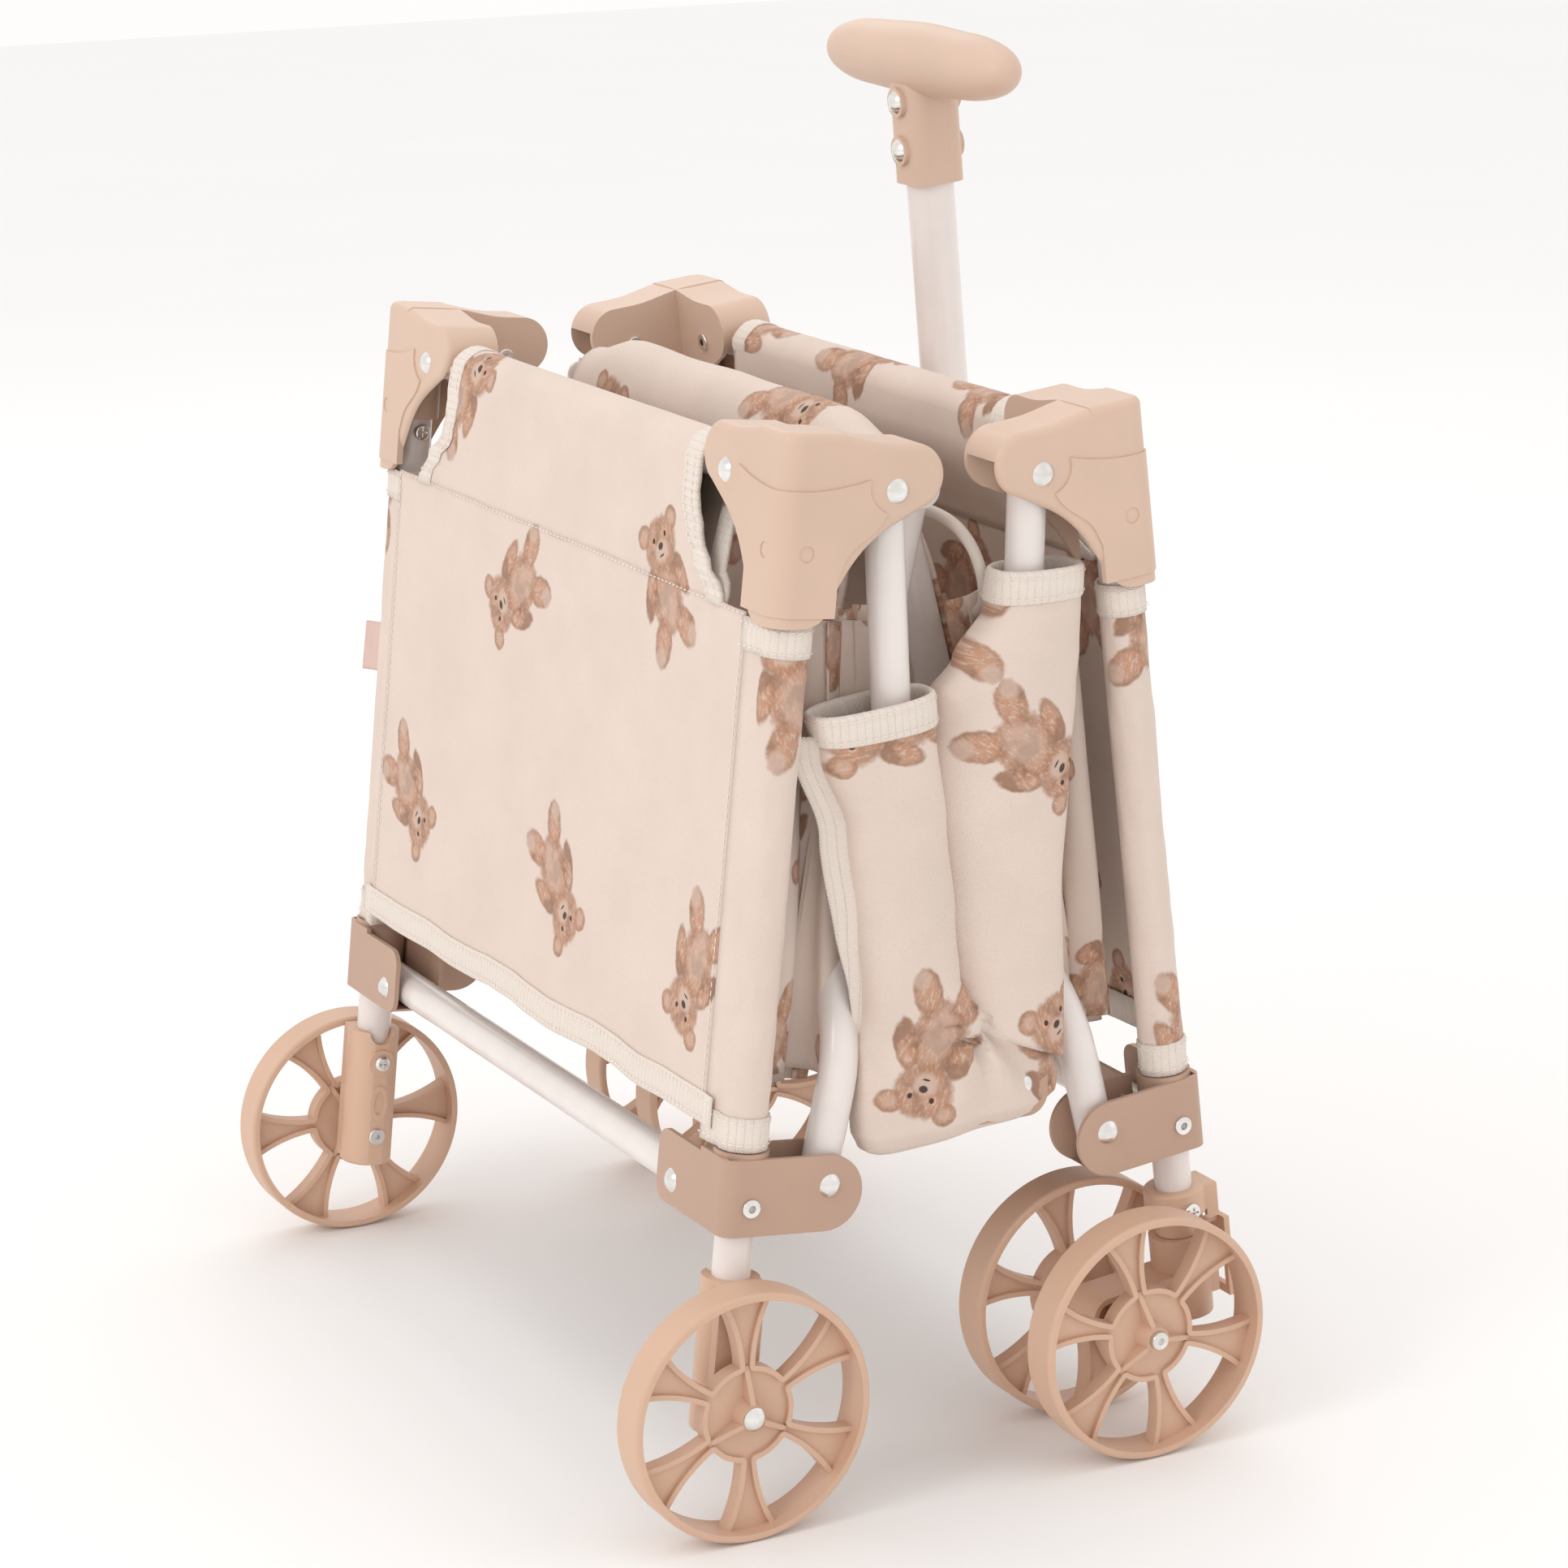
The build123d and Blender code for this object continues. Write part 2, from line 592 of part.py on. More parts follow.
def middle_tube():
    """Tube that is the middle hinge of both pairs of lower rails."""
    reach = leg_y - rear_shift + tube_r + mid_tube_over
    tube = along_y(mid_tube_r, -reach, reach, 0, mid_z)
    tube -= along_y(mid_tube_r - mid_tube_wall, -reach - 1, reach + 1, 0, mid_z)
    for side in (-1, 1):
        tube += along_y(mid_tube_r + 2.5, side * (reach - 2.0), side * reach, 0, mid_z)
    return tube


# ---- Folding link of the upper rails, right side ----
link_half = 12.0
link_wall = 2.2
link_low = 13.4
link_high = 11.0
link_round = 9.0
slot_run = 11.5  # the front rivet slides this far while the wagon unfolds


def folding_link():
    """Channel open above; its front pivot is a slot, because the linkage is not quite square."""
    end = link_pitch / 2 + link_round + 3.0
    body = block(-end, end, -leg_y - link_half, -leg_y + link_half, link_z - link_low, link_z + link_high)
    body = fillet(body.edges().filter_by(Axis.Y), link_round)
    inner = link_half - link_wall
    floor_top = link_z - link_low + link_wall
    body -= block(-end - 1, end + 1, -leg_y - inner, -leg_y + inner, floor_top, link_z + 40)
    body -= along_y(shaft_hole, -leg_y - 30, -leg_y + 30, link_x, link_z)
    slot_low, slot_high = -link_x - slot_run, -link_x
    hole = rivet_r + 2 * fit_gap
    body -= block(slot_low, slot_high, -leg_y - 30, -leg_y + 30, link_z - hole, link_z + hole)
    for x in (slot_low, slot_high):
        body -= along_y(hole, -leg_y - 30, -leg_y + 30, x, link_z)
    return body


def link_rivet(x, extra):
    """Rivet through the link, with extra length so that its heads stay clear of the walls."""
    grip = 2 * (link_half + extra)
    return turned(rivet(grip), (x, -leg_y - link_half - extra, link_z), (0, -1, 0))


# ---- Fabric, as plain closed bodies ----
def end_panel():
    """End panel with its sleeves on the legs and the top tube, and its notched upper corners."""
    panel = block(-panel_face - panel_cloth, -panel_face, -leg_y, leg_y, panel_foot, cap_rise)
    for side in (-1, 1):
        y0, y1 = sorted((side * (notch_top + 0.5), side * (leg_y + 1)))
        panel -= block(-20, 20, y0, y1, notch_foot + 14, cap_rise + 1)
        y0, y1 = sorted((side * notch_side, side * (leg_y + 1)))
        panel -= block(-20, 20, y0, y1, sleeve_top, cap_rise + 1)
        y0, y1 = sorted((side * (leg_y - 60), side * (leg_y + 1)))
        panel -= block(-20, 20, y0, y1, notch_foot, cap_rise + 1)
        panel += ring(sleeve_r + 0.8, tube_r + seat_gap, sleeve_foot, sleeve_top, 0, side * leg_y)
    loop = along_y(sleeve_r + 0.8, -notch_top, notch_top, 0, cap_rise)
    return panel + loop - along_y(tube_r + seat_gap, -notch_top - 1, notch_top + 1, 0, cap_rise)


def rail_sleeve(mouth, top_shift, flap_low):
    """Flattened fabric tube on the right rear upper rail, with a flap hanging outside the rail."""

    def section(z, shift, width, thick):
        middle = cap_x + (cap_z - z) / math.tan(hang_angle) - shift
        return Location((middle, -leg_y, z)) * SlotOverall(width, thick)

    def tube(less):
        low = section(sleeve_low, 0.0, rail_sleeve_low_w - less, rail_sleeve_t - less)
        return loft([low, section(mouth, top_shift, rail_sleeve_w - less, rail_sleeve_t - less)], ruled=True)

    flap_y = -leg_y - rail_sleeve_t / 2
    flap = block(link_x - 22, link_x + 23, flap_y, flap_y + 4.2, flap_low, sleeve_low + 6)
    return tube(0) - tube(2 * cloth) + flap


def link_cover():
    """Fold of fabric that hangs under the right link."""
    foot = link_z - link_low - 0.3
    end = link_pitch / 2 + link_round + 2.0
    body = block(-end, end, -leg_y - 12.5, -leg_y + 12.5, foot - 5.5, foot)
    return fillet(body.edges().filter_by(Axis.Y).group_by(Axis.Z)[0], 4.0)


def floor_panel(half):
    """Rear part of the floor, lying along the rear lower rails on their upper side."""
    panel = block(floor_from, floor_to, -half, half, floor_lift, floor_lift + floor_cloth)
    up = (math.cos(floor_angle), 0, math.sin(floor_angle))
    normal = (-math.sin(floor_angle), 0, math.cos(floor_angle))
    return Plane(origin=(low_x, 0, low_z), x_dir=up, z_dir=normal).location * panel


def gathered_wall():
    """Right side wall, gathered beside the leg, in end frame coordinates."""
    body = block(wall_near, wall_far, -leg_y + wall_out, -leg_y + wall_in, panel_foot + 6, sleeve_top)
    return fillet(body.edges().filter_by(Axis.Z), 3.0)


# ---- Caster, right front side, in front end frame coordinates ----
def caster_collar():
    """Socket fixed on the leg's foot, with a neck for the swivel and a groove for the lock pin."""
    body = along_h(collar_r, collar_low, collar_top, 0, -leg_y)
    body += block(-collar_r - 3.5, 0, -leg_y - 8, -leg_y + 8, collar_low, collar_top)
    body = fillet(body.edges().group_by(Axis.Z)[-1], 1.5)
    groove = lock_pin_r + 0.6
    body -= ring(lock_reach + groove, lock_reach - groove, collar_low - 1, collar_low + lock_travel + 1.5, 0, -leg_y)
    body += along_h(neck_r - 0.2, neck_low, collar_low + 6, 0, -leg_y)
    body -= along_h(tube_r + seat_gap, front_leg_foot, collar_top + 1, 0, -leg_y)
    body -= along_h(pin_r + fit_gap, neck_low - 1, front_leg_foot + 1, 0, -leg_y)
    body -= along_y(screw_r + fit_gap, -leg_y - 30, -leg_y + 30, 0, collar_screw_h)
    return body


def swivel_pin():
    """Pin from the leg's foot through the caster's barrel, held by a washer head below."""
    body = along_h(pin_r, barrel_low - 0.3, front_leg_foot + 6, 0, -leg_y)
    body += along_h(pin_r + 2.5, front_leg_foot, front_leg_foot + 2, 0, -leg_y)
    return body + along_h(pin_r + 2.5, barrel_low - 2.3, barrel_low - 0.3, 0, -leg_y)


axle_u = caster_trail * math.cos(lean) + (rivet_height - wheel_r) * math.sin(lean)
axle_v = caster_trail * math.sin(lean) - (rivet_height - wheel_r) * math.cos(lean)
twin_in = twin_half - wheel_w / 2 - boss_over - side_clear


def caster_fork():
    """Swivel barrel and a flat arm that carries the axle between the twin wheels."""
    body = along_h(barrel_r, barrel_low, barrel_top, 0, -leg_y)
    low, high = axle_v - fork_height / 2 + 1, axle_v + fork_height / 2 + 1
    arm = block(0, axle_u + fork_end, -leg_y - fork_half, -leg_y + fork_half, low, high)
    arm = fillet(arm.edges().filter_by(Axis.Y).group_by(Axis.X)[-1], 8.5)
    pocket = block(axle_u - 9, axle_u + fork_end - 2.5, 2.5, fork_half + 1, low + 2.5, high - 2.5)
    pocket = fillet(pocket.edges().filter_by(Axis.Y), 5.0)
    for side in (-1, 1):
        cut = pocket if side > 0 else mirror(pocket, about=Plane.XZ)
        arm -= Pos(0, -leg_y, 0) * cut
    body += arm
    body += along_y(4.6, -leg_y - twin_in, -leg_y + twin_in, axle_u, axle_v)
    body += block(-barrel_r - 3.0, -barrel_r + 2.0, -leg_y - 5, -leg_y + 5, barrel_low + 6, barrel_top - 4)
    body -= along_h(pin_r + fit_gap, barrel_low - 1, barrel_top + 1, 0, -leg_y)
    body -= along_y(axle_r + fit_gap, -leg_y - 30, -leg_y + 30, axle_u, axle_v)
    body -= along_h(lock_pin_r + fit_gap, barrel_low + 8, barrel_top + 1, -lock_reach, -leg_y)
    return body


def caster_axle():
    """Axle through both twin wheels: head outside, rolled tail on the far side."""
    out = twin_half + wheel_w / 2 + boss_over + side_clear
    pin = along_h(axle_r, -2 * out - rivet_tail, 0)
    cap = along_h(4.0, 0, 2.2) + along_h(4.0, -2 * out - rivet_tail, -2 * out)
    cap = fillet(cap.edges().group_by(Axis.Z)[-1], 0.8)
    pin = pin + cap - along_h(1.5, 0.6, 3)
    return turned(pin, (axle_u, -leg_y - out, axle_v), (0, -1, 0))


def swivel_lock():
    """Lock pin standing in the barrel, joined to a looped finger tab in front of it."""
    pin = along_h(lock_pin_r, barrel_low + 10, collar_low - 1.0, -lock_reach, -leg_y)
    tab_u = -barrel_r - 9.0
    tab = block(tab_u, tab_u + 2.6, -leg_y - 7.5, -leg_y + 7.5, barrel_low + 3, collar_low - 2.2)
    tab -= block(tab_u - 1, tab_u + 4, -leg_y - 4.6, -leg_y + 4.6, barrel_low + 7, barrel_top - 4)
    bridge = block(tab_u, -lock_reach, -leg_y - 2.4, -leg_y + 2.4, barrel_top + 0.5, collar_low - 3.4)
    return tab + bridge + pin


# ---- Handle, drawn on Z from its pivot ----
def handle_tube():
    top = grip_height - 6.0
    tube = along_h(handle_r, 0, top) + along_y(handle_r, -handle_r, handle_r) & along_h(handle_r, -20, top)
    tube -= along_h(handle_r - handle_wall, 6, top + 1)
    tube -= along_y(handle_pin_r + fit_gap, -20, 20)
    for drop in stem_rivets:
        tube -= along_u(shaft_hole, -20, 20, 0, grip_height + drop)
    return tube


def grip_solid():
    """Tapered bar across the handle, with its stem and the bosses of two rivets."""
    half = grip_length / 2
    bar = Spline((0, grip_r), (half * 0.45, grip_r - 1.2), (half * 0.8, grip_end_r + 0.6), (half, 0), tangents=((1, 0), (0, -1)))
    outline = make_face([bar, Line((half, 0), (0, 0)), Line((0, 0), (0, grip_r))])
    right = revolve(outline, Axis.X)
    body = Rotation(0, 0, 90) * (right + mirror(right, about=Plane.YZ))
    stem = block(-stem_half, stem_half, -stem_half, stem_half, -stem_drop, 0)
    stem = fillet(stem.edges().filter_by(Axis.Z), 7.5)
    body += stem
    for drop in stem_rivets:
        body += along_u(grip_boss_r, -stem_half - grip_boss, stem_half + grip_boss, 0, drop)
    body -= along_h(handle_r + seat_gap, -stem_drop - 1, -5.9)
    for drop in stem_rivets:
        body -= along_u(shaft_hole, -40, 40, 0, drop)
    return body


def grip_half(front_side):
    whole = grip_solid()
    if front_side:
        return whole & block(grip_seam, 60, -100, 100, -100, 100)
    return whole & block(-60, grip_seam - 0.02, -100, 100, -100, 100)


def handle_rivets():
    grip = 2 * (stem_half + grip_boss)
    return [turned(rivet(grip), (-stem_half - grip_boss, 0, drop), (-1, 0, 0)) for drop in stem_rivets]


def handle_pin():
    """Hinge pin of the handle, fixed in the tube and turning in the clamp's ears."""
    reach = handle_r + ear_gap + ear_wall + 0.4
    pin = along_y(handle_pin_r, -reach, reach)
    return pin + along_y(handle_pin_r + 2, -reach - 2, -reach) + along_y(handle_pin_r + 2, reach, reach + 2)


handle_x = half_spread + handle_reach
pivot_u = -handle_reach * math.cos(lean) + (rivet_height - handle_height) * math.sin(lean)
pivot_v = -handle_reach * math.sin(lean) - (rivet_height - handle_height) * math.cos(lean)


def handle_clamp():
    """Clamp round the front cross tube with two ears for the handle's pin."""
    inner = handle_r + ear_gap
    outer = inner + ear_wall
    body = along_y(handle_clamp_r, -outer, outer, 0, -cross_drop)
    for side in (-1, 1):
        y0, y1 = sorted((side * inner, side * outer))
        ear = along_y(7.0, y0, y1, pivot_u, pivot_v)
        ear += block(pivot_u, 0, y0, y1, pivot_v - 7.0, pivot_v + 7.0)
        body += ear
    body -= along_y(tube_r + seat_gap, -40, 40, 0, -cross_drop)
    return body - along_y(handle_pin_r + fit_gap, -40, 40, pivot_u, pivot_v)


def on_handle(shape):
    return Location((handle_x, 0, handle_height), (0, -handle_lean, 0)) * shape


# ---- Pull loop of cord at the floor's middle fold ----
def loop_path():
    """Route of the cord: out of the floor's edge, round, and back into it."""
    near, far = -front_floor_half, -171.0
    points = [(16.0, near, 396.0), (16.0, far, 396.0), (26.0, far, 353.0), (26.0, near, 353.0)]
    arcs = []
    for before, here, after in zip(points, points[1:], points[2:]):
        a = Vector(*here) - Vector(*before)
        b = Vector(*after) - Vector(*here)
        turn = math.radians(a.get_angle(b))
        arcs.append(0.45 * min(a.length, b.length) / math.tan(turn / 2))
    return points, arcs


def pull_loop():
    points, radii = loop_path()
    print("pull loop radii", [round(r, 1) for r in radii])
    pieces = []
    here = Vector(*points[0])
    for point, after, radius in zip(points[1:], points[2:], radii):
        corner, nxt = Vector(*point), Vector(*after)
        into = (corner - here).normalized()
        away = (nxt - corner).normalized()
        half_turn = math.radians(into.get_angle(away)) / 2
        cut = radius * math.tan(half_turn)
        start, end = corner - into * cut, corner + away * cut
        middle = corner + (away - into).normalized() * (radius / math.cos(half_turn) - radius)
        pieces += [Line(here, start), ThreePointArc(start, middle, end)]
        here = end
    pieces.append(Line(here, Vector(*points[-1])))
    path = Wire(pieces)
    begin = Plane(origin=path @ 0, z_dir=path % 0)
    cord = sweep(begin * Circle(loop_r), path=path)
    print("pull loop", round(path.length, 1), round(cord.volume / (math.pi * loop_r**2), 1))
    return cord


# ---- Build ----
def pair(shape):
    return shape, flip_y(shape)


rear_leg = leg(rear_leg_foot)
front_leg = leg(front_leg_foot)
cap = corner_cap()
bracket = lower_bracket()
rivets = frame_rivets()

for name, place, leg_tube in (("rear", rear, rear_leg), ("front", front, front_leg)):
    for side, hand in (("right", lambda s: s), ("left", flip_y)):
        save(f"{name}_leg_{side}", place(hand(leg_tube)))
        save(f"{name}_cap_{side}", place(hand(cap)))
        save(f"{name}_bracket_{side}", place(hand(bracket)))
    save(f"{name}_top_tube", place(top_tube))
    save(f"{name}_cross_tube", place(cross_tube))
    save(f"{name}_panel", place(end_panel()))
    save(f"{name}_side_walls", *[place(wall) for wall in pair(gathered_wall())])

rear_hardware = rivets + [holder_screw(), rear_axle()]
collar_screw = turned(screw(tube_r + collar_r), (0, -leg_y - collar_r, collar_screw_h), (0, -1, 0))
front_hardware = rivets + [collar_screw, swivel_pin()]
save("rear_frame_fasteners", *[rear(h(s)) for s in rear_hardware for h in (lambda s: s, flip_y)])
save("front_frame_fasteners", *[front(h(s)) for s in front_hardware for h in (lambda s: s, flip_y)])
save("rear_wheel_holders", *[rear(s) for s in pair(holder)])
save("caster_collars", *[front(s) for s in pair(caster_collar())])

axle_x = -(half_spread - axle_h * math.sin(lean))
save("rear_wheel_right", place_wheel(0, axle_x, -leg_y - rear_wheel_out))
save("rear_wheel_left", place_wheel(30, axle_x, leg_y + rear_wheel_out))

fork, axle, lock = caster_fork(), caster_axle(), swivel_lock()
for side, hand, sign in (("right", lambda s: s, -1), ("left", flip_y, 1)):
    save(f"caster_fork_{side}", front(hand(fork)))
    save(f"caster_axle_{side}", front(hand(axle)))
    save(f"swivel_lock_{side}", front(hand(lock)))
    save(f"caster_wheel_{side}_outer", place_wheel(15, caster_x, sign * (leg_y + twin_half)))
    save(f"caster_wheel_{side}_inner", place_wheel(15, caster_x, sign * (leg_y - twin_half)))

upper = straight_rail()
rear_bent, front_bent = bent_rail(rear_shift), bent_rail(front_shift)
link = folding_link()
rear_sleeve = rail_sleeve(rear_mouth, 11.0, rear_flap_low)
front_sleeve = rail_sleeve(front_mouth, 4.5, front_flap_low)
for side, hand in (("right", lambda s: s), ("left", flip_y)):
    save(f"rear_upper_rail_{side}", hand(upper))
    save(f"front_upper_rail_{side}", flip_x(hand(upper)))
    save(f"rear_lower_rail_{side}", hand(rear_bent))
    save(f"front_lower_rail_{side}", flip_x(hand(front_bent)))
    save(f"folding_link_{side}", hand(link))
save("rear_rail_sleeves", *pair(rear_sleeve))
save("front_rail_sleeves", *[flip_x(s) for s in pair(front_sleeve)])
save("link_rivets", *pair(link_rivet(link_x, 0.0)))
save("slot_rivets", *pair(link_rivet(-link_x, 0.3)))
save("link_covers", *pair(link_cover()))
save("middle_tube", middle_tube())
save("rear_floor", floor_panel(rear_floor_half))
save("front_floor", flip_x(floor_panel(front_floor_half)))
save("pull_loop", pull_loop())

save("handle_clamp", front(handle_clamp()))
save("handle_tube", on_handle(handle_tube()))
grip_place = Location((0, 0, grip_height))
save("grip_body", on_handle(grip_place * grip_half(False)))
save("grip_cover", on_handle(grip_place * grip_half(True)))
save("handle_fasteners", on_handle(handle_pin()), *[on_handle(grip_place * s) for s in handle_rivets()])

print("lower pivot", round(low_x, 3), round(low_z, 3), "middle hinge z", round(mid_z, 3))
print("cap pivot", round(cap_x, 3), round(cap_z, 3), "link pivot", round(link_x, 3), round(link_z, 3))
print("floor angle", round(math.degrees(floor_angle), 4), "hang angle", round(math.degrees(hang_angle), 4))
print("side rail", round(side_rail, 3), "caster axle x", round(caster_x, 3), "rear axle x", round(axle_x, 3))
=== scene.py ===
"""A child's folding pull wagon, dressed in printed cloth around its fixed frame."""

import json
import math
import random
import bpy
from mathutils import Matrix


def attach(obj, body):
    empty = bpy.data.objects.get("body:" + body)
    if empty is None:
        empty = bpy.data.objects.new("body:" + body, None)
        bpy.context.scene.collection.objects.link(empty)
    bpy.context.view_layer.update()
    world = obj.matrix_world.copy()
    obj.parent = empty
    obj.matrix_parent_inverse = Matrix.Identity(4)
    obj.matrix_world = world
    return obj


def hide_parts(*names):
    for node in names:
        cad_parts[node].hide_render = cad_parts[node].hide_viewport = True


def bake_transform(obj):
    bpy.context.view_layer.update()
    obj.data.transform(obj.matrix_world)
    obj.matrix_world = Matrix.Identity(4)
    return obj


bl_info = {
    "name": "Folding Pull Wagon",
    "version": (1, 0, 0),
    "blender": (4, 5, 0),
    "location": "3D View > Sidebar > Wagon",
    "description": "Cloth, cord, finishes and stage for a folding pull wagon",
    "category": "Add Mesh",
}

import bpy
from bpy.props import FloatProperty, FloatVectorProperty, PointerProperty
from mathutils import Matrix, Vector, noise

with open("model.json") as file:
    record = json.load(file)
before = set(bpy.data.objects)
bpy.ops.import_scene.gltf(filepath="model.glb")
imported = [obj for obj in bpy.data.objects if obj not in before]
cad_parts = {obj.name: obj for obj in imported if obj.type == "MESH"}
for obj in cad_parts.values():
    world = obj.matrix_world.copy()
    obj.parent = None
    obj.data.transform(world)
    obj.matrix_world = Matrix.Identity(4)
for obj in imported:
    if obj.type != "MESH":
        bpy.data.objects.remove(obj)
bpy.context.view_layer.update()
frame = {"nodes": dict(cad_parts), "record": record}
NODES = frame["nodes"]
JOINTS = {j["name"]: j for j in frame["record"]["behaviour"]["joints"]}

# ---- Places that come from the frame, in metres ----
SWIVEL = JOINTS["caster_swivel_right"]
HALF_SPREAD, LEG_Y, RIVET_Z = SWIVEL["pos_m"][0], -SWIVEL["pos_m"][1], SWIVEL["pos_m"][2]
LEAN = math.atan2(-SWIVEL["axis"][0], SWIVEL["axis"][2])
FLOOR_PIVOT = Vector(JOINTS["fold"]["pos_m"])
MID_HINGE = Vector(JOINTS["middle_hinge"]["pos_m"])
CAP_RISE = 0.2905  # bracket rivet to the top tube, up the leg
REAR, FRONT = -1, 1
RIGHT, LEFT = -1, 1


# ---- Settings a user would change ----
def shade(name, description, default):
    return FloatVectorProperty(
        name=name, description=description, subtype="COLOR", size=3, min=0.0, max=1.0, default=default
    )


class WagonColours(bpy.types.PropertyGroup):
    cloth: shade("Cloth", "Ground colour of the printed cloth", (0.745, 0.622, 0.545))
    tape: shade("Tape", "Twill tape along the edges", (0.865, 0.770, 0.690))
    lining: shade("Lining", "Plain lining seen in the sleeve mouths", (0.70, 0.61, 0.57))
    fur: shade("Print", "Brown of the printed bears", (0.47, 0.245, 0.15))
    paint: shade("Paint", "Gloss paint of the tubes", (0.82, 0.755, 0.72))
    caps: shade("Caps", "Moulded caps and grip", (0.67, 0.485, 0.375))
    brackets: shade("Brackets", "Moulded lower brackets", (0.50, 0.33, 0.245))
    wheels: shade("Wheels", "Moulded wheels and casters", (0.665, 0.44, 0.315))
    label: shade("Label", "Blank sewn label", (0.72, 0.52, 0.46))


def distance(name, description, default):
    return FloatProperty(name=name, description=description, unit="LENGTH", default=default)


class WagonSizes(bpy.types.PropertyGroup):
    cloth: distance("Cloth", "Cloth thickness", 0.0008)
    tape: distance("Tape", "Width of the edge tape", 0.0128)
    tape_thick: distance("Tape thickness", "Tape thickness", 0.0007)
    bear: distance("Print size", "Height of a printed bear", 0.064)
    stitch: distance("Stitch", "Stitch pitch", 0.0036)
    cord: distance("Cord", "Pull loop thickness", 0.005)
    floor: distance("Stage", "Half width of the stage floor", 6.0)


def colours():
    """The wagon's colours, as set on the scene."""
    return bpy.context.scene.wagon_colours


def sizes():
    """The wagon's cloth and stage sizes, as set on the scene."""
    return bpy.context.scene.wagon_sizes


# ---- Shader building ----
class Value:
    """A number flowing through a material, so that maths reads as maths."""

    def __init__(self, net, socket):
        self.net, self.socket = net, socket

    def _math(self, operation, *others):
        return self.net.node("ShaderNodeMath", {"operation": operation}, self, *others)

    def __add__(self, other):
        return self._math("ADD", other)

    def __radd__(self, other):
        return self.net.node("ShaderNodeMath", {"operation": "ADD"}, other, self)

    def __sub__(self, other):
        return self._math("SUBTRACT", other)

    def __rsub__(self, other):
        return self.net.node("ShaderNodeMath", {"operation": "SUBTRACT"}, other, self)

    def __mul__(self, other):
        return self._math("MULTIPLY", other)

    def __rmul__(self, other):
        return self.net.node("ShaderNodeMath", {"operation": "MULTIPLY"}, other, self)

    def __truediv__(self, other):
        return self._math("DIVIDE", other)

    def sqrt(self):
        return self._math("SQRT")

    def sin(self):
        return self._math("SINE")

    def max(self, other):
        return self._math("MAXIMUM", other)

    def min(self, other):
        return self._math("MINIMUM", other)

    def ramp(self, low, high):
        """0 below low, 1 above high, smooth between."""
        settings = {"interpolation_type": "SMOOTHSTEP"}
        return self.net.node("ShaderNodeMapRange", settings, self, low, high, 0.0, 1.0)


class Net:
    """One material's node tree with a Principled shader."""

    def __init__(self, name):
        self.material = bpy.data.materials.new(name)
        self.material.use_nodes = True
        self.tree = self.material.node_tree
        self.shader = self.tree.nodes["Principled BSDF"]

    def node(self, kind, settings=None, *inputs, out=0, **named):
        """Any node: settings first, then the values or links of its sockets; returns one output."""
        made = self.tree.nodes.new(kind)
        for key, value in (settings or {}).items():
            setattr(made, key, value)
        for index, value in enumerate(inputs):
            self.feed(made.inputs[index], value)
        for key, value in named.items():
            self.feed(made.inputs[key.replace("_", " ")], value)
        return Value(self, made.outputs[out])

    def feed(self, socket, value):
        if isinstance(value, Value):
            self.tree.links.new(value.socket, socket)
        else:
            socket.default_value = value

    def mix(self, factor, a, b, mode="MIX"):
        made = self.tree.nodes.new("ShaderNodeMix")
        made.data_type = "RGBA"
        made.blend_type = mode
        self.feed(made.inputs[0], factor)
        self.feed(made.inputs[6], a)
        self.feed(made.inputs[7], b)
        return Value(self, made.outputs[2])

    def place(self, uv=None):
        if uv:
            return self.node("ShaderNodeUVMap", {"uv_map": uv})
        return self.node("ShaderNodeTexCoord", None, out=3)

    def split(self, vector):
        made = self.tree.nodes.new("ShaderNodeSeparateXYZ")
        self.feed(made.inputs[0], vector)
        return Value(self, made.outputs[0]), Value(self, made.outputs[1])

    def noise(self, vector, scale, detail=2.0, rough=0.5):
        sockets = {"Vector": vector, "Scale": scale, "Detail": detail, "Roughness": rough}
        return self.node("ShaderNodeTexNoise", None, **sockets)

    def bump(self, height, strength, distance):
        return self.node("ShaderNodeBump", None, Height=height, Strength=strength, Distance=distance)

    def set(self, **values):
        for key, value in values.items():
            self.feed(self.shader.inputs[key.replace("_", " ")], value)
        return self.material


def rgba(colour, scale=1.0):
    """A colour with alpha, lighter or darker by scale."""
    return (colour[0] * scale, colour[1] * scale, colour[2] * scale, 1.0)


def paint_material():
    net = Net("cream gloss paint")
    spot = net.place()
    speckle = net.noise(spot, 55.0, 3.0)
    worn = net.noise(spot, 900.0, 2.0)
    base = net.mix(speckle.ramp(0.35, 0.75), rgba(colours().paint), rgba(colours().paint, 0.955))
    orange_peel = net.bump(net.noise(spot, 420.0, 1.0), 0.08, 0.0003)
    return net.set(
        Base_Color=base, Roughness=worn * 0.1 + 0.2, Coat_Weight=0.35, Coat_Roughness=0.12, Normal=orange_peel
    )


def plastic_material(name, colour, rough):
    """Moulded plastic: faint flow marks, a fine grain and slightly rubbed high spots."""
    net = Net(name)
    spot = net.place()
    flow = net.noise(spot, 14.0, 3.0, 0.55)
    grain = net.noise(spot, 1500.0, 2.0)
    rubbed = net.noise(spot, 190.0, 4.0, 0.65).ramp(0.55, 0.75)
    base = net.mix(flow.ramp(0.3, 0.75), rgba(colour, 0.965), rgba(colour, 1.03))
    base = net.mix(rubbed * 0.16, base, rgba(colour, 1.10))
    height = grain * 0.7 + flow * 0.3
    return net.set(
        Base_Color=base,
        Roughness=grain * 0.10 + flow * 0.08 + (rough - 0.09),
        Specular_IOR_Level=0.42,
        Normal=net.bump(height, 0.16, 0.00025),
    )


